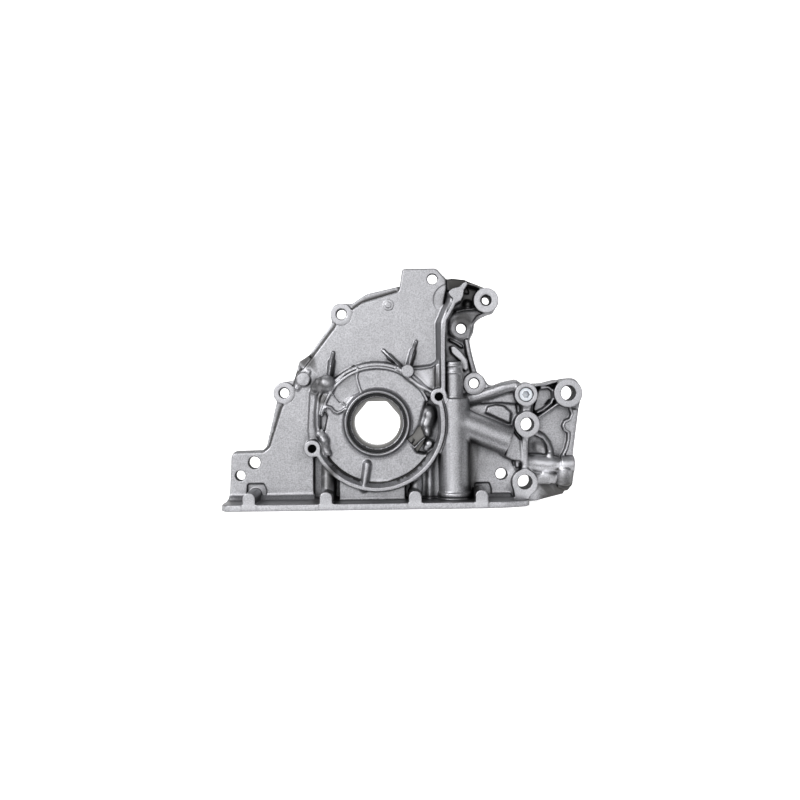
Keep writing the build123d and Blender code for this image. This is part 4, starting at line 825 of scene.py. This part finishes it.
    # painted shade: dark line at the foot of the step round the perimeter flange
    rim = (co[:, 1] > -7.6) & (co[:, 1] < -6.2) & (np.abs(vn[:, 1]) > 0.6)
    q = poly2(co[:, 0], co[:, 2], np.array(PANEL, float)[:, :2])
    painted_shade_highlight = np.where(rim & (q < 1.3), 0.85, painted_shade_highlight)
    # painted shade also at the foot of the ring's inner slope
    q = np.sqrt(co[:, 0] ** 2 + co[:, 2] ** 2)
    foot = (co[:, 1] > -26.0) & (co[:, 1] < -23.8) & (q > 49.2) & (q < 50.9) & (poly2(co[:, 0], co[:, 2], np.array(LOWER, float)) < 0)
    painted_shade_highlight = np.where(foot, 0.9, painted_shade_highlight)
    for name, arr in (("buried", occ), ("edge", edge), ("painted_shade_highlight", painted_shade_highlight)):
        at = me.attributes.new(name, "FLOAT", "POINT")
        at.data.foreach_set("value", arr.astype(np.float32))
    for name, arr in (("milled", mach > 0.5), ("bored", mach > 1.5), ("drilled", mach > 2.5)):
        at = me.attributes.new(name, "FLOAT", "FACE")
        at.data.foreach_set("value", arr.astype(np.float32))
    return ob


# ---------------------------------------------------------------- materials
class Mat:
    """Small helper to write node trees in a few lines."""

    def __init__(self, name):
        self.m = bpy.data.materials.new(name)
        self.m.use_nodes = True
        self.t = self.m.node_tree
        self.b = self.t.nodes["Principled BSDF"]
        self.tc = self.t.nodes.new("ShaderNodeTexCoord").outputs["Object"]

    def set(self, **kw):
        for k, v in kw.items():
            self.b.inputs[k.replace("_", " ")].default_value = v

    def link(self, a, b):
        self.t.links.new(a, b)
        return a

    def to(self, name, out):
        self.t.links.new(out, self.b.inputs[name])

    def node(self, kind, **props):
        n = self.t.nodes.new(kind)
        for k, v in props.items():
            setattr(n, k, v)
        return n

    def val(self, socket, v):
        if hasattr(v, "is_output") or isinstance(v, bpy.types.NodeSocket):
            self.t.links.new(v, socket)
        else:
            socket.default_value = v

    def stretch(self, s, src=None):
        n = self.node("ShaderNodeMapping")
        n.inputs["Scale"].default_value = s
        self.t.links.new(src or self.tc, n.inputs["Vector"])
        return n.outputs[0]

    def noise(self, scale, detail=3.0, rough=0.55, vec=None, dist=0.0):
        n = self.node("ShaderNodeTexNoise")
        n.inputs["Scale"].default_value = scale
        n.inputs["Detail"].default_value = detail
        n.inputs["Roughness"].default_value = rough
        n.inputs["Distortion"].default_value = dist
        self.t.links.new(vec or self.tc, n.inputs["Vector"])
        return n.outputs["Fac"]

    def voronoi(self, scale, vec=None, feature="F1"):
        n = self.node("ShaderNodeTexVoronoi", feature=feature)
        n.inputs["Scale"].default_value = scale
        self.t.links.new(vec or self.tc, n.inputs["Vector"])
        return n.outputs["Distance"]

    def math(self, op, a, b=None, clamp=False):
        n = self.node("ShaderNodeMath", operation=op)
        n.use_clamp = clamp
        self.val(n.inputs[0], a)
        if b is not None:
            self.val(n.inputs[1], b)
        return n.outputs[0]

    def range(self, v, a, b, c, d, smooth=False):
        n = self.node("ShaderNodeMapRange")
        if smooth:
            n.interpolation_type = "SMOOTHSTEP"
        self.val(n.inputs["Value"], v)
        for k, x in (("From Min", a), ("From Max", b), ("To Min", c), ("To Max", d)):
            self.val(n.inputs[k], x)
        return n.outputs[0]

    def mix(self, f, a, b, mode="MIX"):
        n = self.node("ShaderNodeMix", data_type="RGBA", blend_type=mode)
        n.clamp_factor = True
        self.val(n.inputs["Factor"], f)
        for s, v in ((n.inputs[6], a), (n.inputs[7], b)):
            if isinstance(v, tuple):
                s.default_value = (*v, 1.0) if len(v) == 3 else v
            else:
                self.t.links.new(v, s)
        return n.outputs[2]

    def fmix(self, f, a, b):
        n = self.node("ShaderNodeMix", data_type="FLOAT")
        self.val(n.inputs["Factor"], f)
        self.val(n.inputs[2], a)
        self.val(n.inputs[3], b)
        return n.outputs[0]

    def attr(self, name):
        n = self.node("ShaderNodeAttribute", attribute_type="GEOMETRY")
        n.attribute_name = name
        return n.outputs["Fac"]

    def bump(self, h, dist, strength=1.0, under=None):
        n = self.node("ShaderNodeBump")
        n.inputs["Strength"].default_value = strength
        n.inputs["Distance"].default_value = dist
        self.val(n.inputs["Height"], h)
        if under is not None:
            self.t.links.new(under, n.inputs["Normal"])
        return n.outputs[0]

    def rings(self, scale, axis="Y", vec=None, dist=0.0, detail=0.0):
        n = self.node("ShaderNodeTexWave", wave_type="RINGS", rings_direction=axis)
        n.inputs["Scale"].default_value = scale
        n.inputs["Distortion"].default_value = dist
        n.inputs["Detail"].default_value = detail
        self.t.links.new(vec or self.tc, n.inputs["Vector"])
        return n.outputs["Fac"]

    def bands(self, scale, axis="X", vec=None, dist=0.0, detail=0.0):
        n = self.node("ShaderNodeTexWave", wave_type="BANDS", bands_direction=axis)
        n.inputs["Scale"].default_value = scale
        n.inputs["Distortion"].default_value = dist
        n.inputs["Detail"].default_value = detail
        self.t.links.new(vec or self.tc, n.inputs["Vector"])
        return n.outputs["Fac"]


def grey(v, tint=(1.0, 1.0, 1.0)):
    return (v * tint[0], v * tint[1], v * tint[2], 1.0)


COOL = (0.985, 0.985, 1.03)


def casting_material():
    m = Mat("cast_aluminium")
    milled = m.attr("milled")
    buried = m.attr("buried")
    edge = m.attr("edge")
    ao = m.node("ShaderNodeAmbientOcclusion", samples=6)
    ao.inputs["Distance"].default_value = 0.0065
    ao_f = ao.outputs["AO"]
    # cast skin: blasted grain, broad mottling, slight stains
    grain = m.noise(900, 2.0, 0.65)
    fine = m.noise(3000, 1.0, 0.5)
    grit = m.voronoi(1300)
    broad = m.noise(38, 4.0, 0.55, dist=0.4)
    patch = m.noise(150, 3.0, 0.6)
    streak = m.noise(90, 3.0, 0.5, vec=m.stretch((1.0, 1.0, 0.22)))
    tone = m.math("ADD", m.math("MULTIPLY", broad, 0.40), m.math("ADD", m.math("MULTIPLY", patch, 0.35), m.math("MULTIPLY", streak, 0.25)))
    skin = m.mix(m.range(tone, 0.36, 0.64, 0.0, 1.0), grey(0.54, COOL), grey(0.65, COOL))
    skin = m.mix(m.range(grain, 0.30, 0.62, 0.80, 0.0), skin, grey(0.29, COOL))
    # lighter outer edges: partly edge wear, partly painted edge highlight
    skin = m.mix(m.range(edge, 0.25, 0.75, 0.0, 0.50, True), skin, grey(0.76, COOL))
    # milled faces: brighter, with cutter arcs
    arcs = m.rings(330, "Y", dist=0.6, detail=1.0)
    swirl = m.noise(900, 2.0, 0.5, vec=m.stretch((1.0, 0.25, 1.0)))
    cut = m.mix(m.range(swirl, 0.3, 0.7, 0.0, 1.0), grey(0.50, COOL), grey(0.66, COOL))
    cut = m.mix(m.range(grain, 0.34, 0.60, 0.42, 0.0), cut, grey(0.30, COOL))
    col = m.mix(milled, skin, cut)
    # painted shade: bored and drilled walls painted near-black; drilled walls are also rougher and less metallic
    # below
    bored = m.attr("bored")
    col = m.mix(bored, col, grey(0.04, COOL))
    # painted shade: walls that face sideways (small normal y) are darkened
    geo = m.node("ShaderNodeNewGeometry")
    sep = m.node("ShaderNodeSeparateXYZ")
    m.link(geo.outputs["Normal"], sep.inputs[0])
    side = m.range(m.math("ABSOLUTE", sep.outputs[1]), 0.15, 0.75, 0.86, 0.0, True)
    col = m.mix(side, col, grey(0.09, COOL))
    # painted shade spots darken, painted highlight spots lighten the colour
    painted_shade_highlight = m.math("MULTIPLY", m.attr("painted_shade_highlight"), m.math("SUBTRACT", 1.0, milled))
    col = m.mix(m.range(painted_shade_highlight, 0.0, 1.0, 0.0, 1.0, True), col, grey(0.055, (1.03, 1.0, 0.96)))
    col = m.mix(m.range(painted_shade_highlight, -1.0, 0.0, 1.0, 0.0, True), col, grey(0.88, COOL))
    # painted shade: corners, creases and recesses darkened from the AO node and the buried mask
    dark = m.math("MULTIPLY", m.range(ao_f, 0.10, 0.90, 0.0, 1.0, True), m.range(buried, 0.25, 1.1, 1.0, 0.30))
    col = m.mix(m.range(dark, 0.0, 1.0, 0.90, 0.0), col, grey(0.03, (0.95, 0.98, 1.05)))
    m.to("Base Color", col)
    drilled = m.attr("drilled")
    m.to("Metallic", m.math("SUBTRACT", 0.88, m.math("MULTIPLY", drilled, 0.80)))
    m.to("Specular IOR Level", m.math("SUBTRACT", 0.5, m.math("MULTIPLY", drilled, 0.45)))
    r = m.range(grain, 0.3, 0.7, 0.37, 0.47)
    r = m.fmix(milled, r, m.range(swirl, 0.3, 0.7, 0.30, 0.42))
    r = m.math("ADD", r, m.range(buried, 0.3, 1.2, 0.0, 0.12))
    r = m.math("ADD", r, m.math("MULTIPLY", drilled, 0.35))
    m.to("Roughness", r)
    h = m.math("ADD", m.math("MULTIPLY", grain, 0.6), m.math("ADD", m.math("MULTIPLY", grit, 0.25), m.math("MULTIPLY", fine, 0.15)))
    h = m.math("MULTIPLY", h, m.math("SUBTRACT", 1.0, m.math("MULTIPLY", milled, 0.88)))
    b1 = m.bump(h, 0.00022, 0.6)
    h2 = m.math("MULTIPLY", m.noise(210, 2.0, 0.5), m.math("SUBTRACT", 1.0, milled))
    b2 = m.bump(h2, 0.00045, 0.45, b1)
    h3 = m.math("MULTIPLY", arcs, milled)
    m.to("Normal", m.bump(h3, 0.00002, 0.5, b2))
    return m.m


def steel(name, lo, hi, rough, metallic=1.0, scale=900, stretch=(1, 1, 1), bump=0.00002, tint=(1, 1, 1), rings=0, ring_axis="Y",
          corner_shade=0.5):
    m = Mat(name)
    n = m.noise(scale, 3.0, 0.55, vec=m.stretch(stretch))
    broad = m.noise(60, 3.0, 0.5)
    mix = m.math("ADD", m.math("MULTIPLY", n, 0.6), m.math("MULTIPLY", broad, 0.4))
    col = m.mix(m.range(mix, 0.35, 0.65, 0.0, 1.0), grey(lo, tint), grey(hi, tint))
    # painted shade: corners and recesses darkened from the AO node
    ao = m.node("ShaderNodeAmbientOcclusion", samples=4)
    ao.inputs["Distance"].default_value = 0.006
    col = m.mix(m.range(ao.outputs["AO"], 0.2, 0.9, corner_shade, 0.0), col, grey(0.02))
    m.to("Base Color", col)
    m.set(Metallic=metallic)
    m.to("Roughness", m.range(n, 0.3, 0.7, rough - 0.07, rough + 0.07))
    nb = m.bump(n, bump, 0.7)
    if rings:
        nb = m.bump(m.rings(rings, ring_axis, dist=0.3, detail=1.0), bump * 0.8, 0.5, nb)
    m.to("Normal", nb)
    return m.m


def rubber_material():
    m = Mat("seal_rubber")
    n = m.noise(1800, 2.0, 0.6)
    m.to("Base Color", m.mix(m.range(n, 0.3, 0.7, 0.0, 1.0), (0.010, 0.010, 0.011), (0.022, 0.022, 0.024)))
    m.set(Metallic=0.0, IOR=1.5)
    m.to("Roughness", m.range(n, 0.3, 0.7, 0.42, 0.60))
    m.to("Normal", m.bump(n, 0.00003, 0.6))
    return m.m


def zinc_material():
    m = Mat("zinc_steel")
    n = m.noise(420, 3.0, 0.5)
    f = m.noise(2400, 2.0, 0.5)
    tone = m.range(n, 0.35, 0.65, 0.0, 1.0)
    col = m.mix(tone, (0.82, 0.88, 0.95), (0.92, 0.94, 0.97))
    # painted shade: corners and recesses darkened from the AO node
    ao = m.node("ShaderNodeAmbientOcclusion", samples=4)
    ao.inputs["Distance"].default_value = 0.004
    col = m.mix(m.range(ao.outputs["AO"], 0.2, 0.9, 0.75, 0.0), col, grey(0.02))
    m.to("Base Color", col)
    m.set(Metallic=1.0)
    m.to("Roughness", m.range(f, 0.3, 0.7, 0.32, 0.42))
    m.to("Normal", m.bump(f, 0.00002, 0.4))
    return m.m


MATERIALS = {
    "cast_aluminium": casting_material(),
    "plate_steel": steel("plate_steel", 0.30, 0.40, 0.34, scale=1400, stretch=(1, 1, 0.08), bump=0.00001, rings=420),
    "screw_steel": steel("screw_steel", 0.035, 0.060, 0.42, metallic=0.9, scale=1800),
    "ground_steel": steel("ground_steel", 0.45, 0.55, 0.22, scale=1600, stretch=(1, 1, 0.1)),
    "sintered_steel": steel("sintered_steel", 0.22, 0.32, 0.40, scale=2600, bump=0.00004, tint=(1.0, 0.985, 0.96)),
    "sintered_steel_outer": steel("sintered_steel_outer", 0.20, 0.30, 0.42, scale=2200, bump=0.00004, tint=(1.0, 0.98, 0.95)),
    "spring_steel": steel("spring_steel", 0.14, 0.20, 0.38, scale=1500, tint=(0.98, 0.98, 1.0)),
    "zinc_steel": zinc_material(),
    "washer_aluminium": steel("washer_aluminium", 0.52, 0.62, 0.36, scale=1500),
    "cup_steel": steel("cup_steel", 0.34, 0.42, 0.33, scale=1200, tint=(1.0, 0.98, 0.93)),
    "seal_rubber": rubber_material(),
}
for sub in frame["record"]["subparts"]:
    ob = frame["nodes"][sub["node"]]
    ob.data.materials.clear()
    ob.data.materials.append(MATERIALS[sub["material_slot"]])

cast = build_casting()
cast.data.materials.clear()
cast.data.materials.append(MATERIALS["cast_aluminium"])
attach(cast, "housing")
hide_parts("pump_housing")

# the valve spring as its own mesh copy, attached to the housing
node = frame["nodes"]["relief_spring"]
coil = bpy.data.objects.new("relief_spring_coil", node.data.copy())
bpy.context.scene.collection.objects.link(coil)
coil.matrix_world = node.matrix_world
coil.data.materials.clear()
coil.data.materials.append(MATERIALS["spring_steel"])
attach(coil, "housing")
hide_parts("relief_spring")
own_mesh(coil)

# ---------------------------------------------------------------- floor, light, camera
def sweep_floor():
    """Pale shelf under the sump face with a plain front, curved up into a backdrop far behind."""
    z0 = -0.0702
    prof = [(-0.075, -1.0), (-0.075, z0 - 0.004), (-0.071, z0), (1.6, z0)]
    for i in range(1, 13):
        t = math.pi / 2 * i / 12
        prof.append((1.6 + 0.9 * math.sin(t), z0 + 0.9 * (1 - math.cos(t))))
    prof.append((2.5, 1.9))
    verts, faces = [], []
    for y, z in prof:
        w = 0.50 * (y + 0.9) + 3.0 * max(0.0, y - 1.2)
        verts += [(0.02 - w, y, z), (0.02 + w, y, z)]
    for i in range(len(prof) - 1):
        faces.append((2 * i, 2 * i + 1, 2 * i + 3, 2 * i + 2))
    me = bpy.data.meshes.new("floor")
    me.from_pydata(verts, [], faces)
    me.polygons.foreach_set("use_smooth", [True] * len(faces))
    ob = bpy.data.objects.new("floor", me)
    bpy.context.scene.collection.objects.link(ob)
    m = Mat("floor_paper")
    n = m.noise(60, 3.0)
    m.to("Base Color", m.mix(n, (0.90, 0.90, 0.90), (0.93, 0.93, 0.93)))
    m.set(Roughness=0.9, Metallic=0.0)
    m.b.inputs["Emission Color"].default_value = (1, 1, 1, 1)
    m.b.inputs["Emission Strength"].default_value = 0.80
    ob.data.materials.append(m.m)
    return ob


floor = sweep_floor()

world = bpy.data.worlds.new("studio")
bpy.context.scene.world = world
world.use_nodes = True
world.node_tree.nodes["Background"].inputs[0].default_value = (0.97, 0.98, 1.0, 1)
world.node_tree.nodes["Background"].inputs[1].default_value = 0.14


def area(name, pos, target, size, power, color=(1, 1, 1)):
    li = bpy.data.lights.new(name, "AREA")
    li.shape = "RECTANGLE"
    li.size, li.size_y = size
    li.energy = power
    li.color = color
    ob = bpy.data.objects.new(name, li)
    bpy.context.scene.collection.objects.link(ob)
    ob.location = pos
    ob.rotation_euler = (Vector(target) - Vector(pos)).to_track_quat("-Z", "Y").to_euler()
    return ob


aim = (0.02, 0, 0.03)
area("key", (-1.05, -1.05, 0.75), aim, (0.8, 0.9), 12.0)
area("front", (-0.20, -1.7, 0.45), aim, (2.2, 1.7), 16.0)
area("right_strip", (1.2, -0.8, 0.35), aim, (0.35, 1.1), 0.3)
area("backdrop_light", (0, 0.7, 2.0), (0, 2.3, 0.2), (2.5, 0.8), 20.0)

cam = bpy.data.cameras.new("camera")
cam.sensor_width = 36.0
cam.lens = 42.353
cam.shift_y = -0.01875
cam.clip_start = 0.01
cam.clip_end = 20
camera = bpy.data.objects.new("camera", cam)
bpy.context.scene.collection.objects.link(camera)
camera.matrix_world = (Matrix.Translation((0.0196, -0.814, 0.0314)) @ Matrix.Rotation(math.radians(90), 4, "X")
                       @ Matrix.Rotation(math.radians(-0.8), 4, "Z"))
bpy.context.scene.camera = camera

bpy.context.scene.view_settings.view_transform = "Standard"
bpy.context.scene.view_settings.look = "None"
bpy.context.scene.view_settings.exposure = 0.0
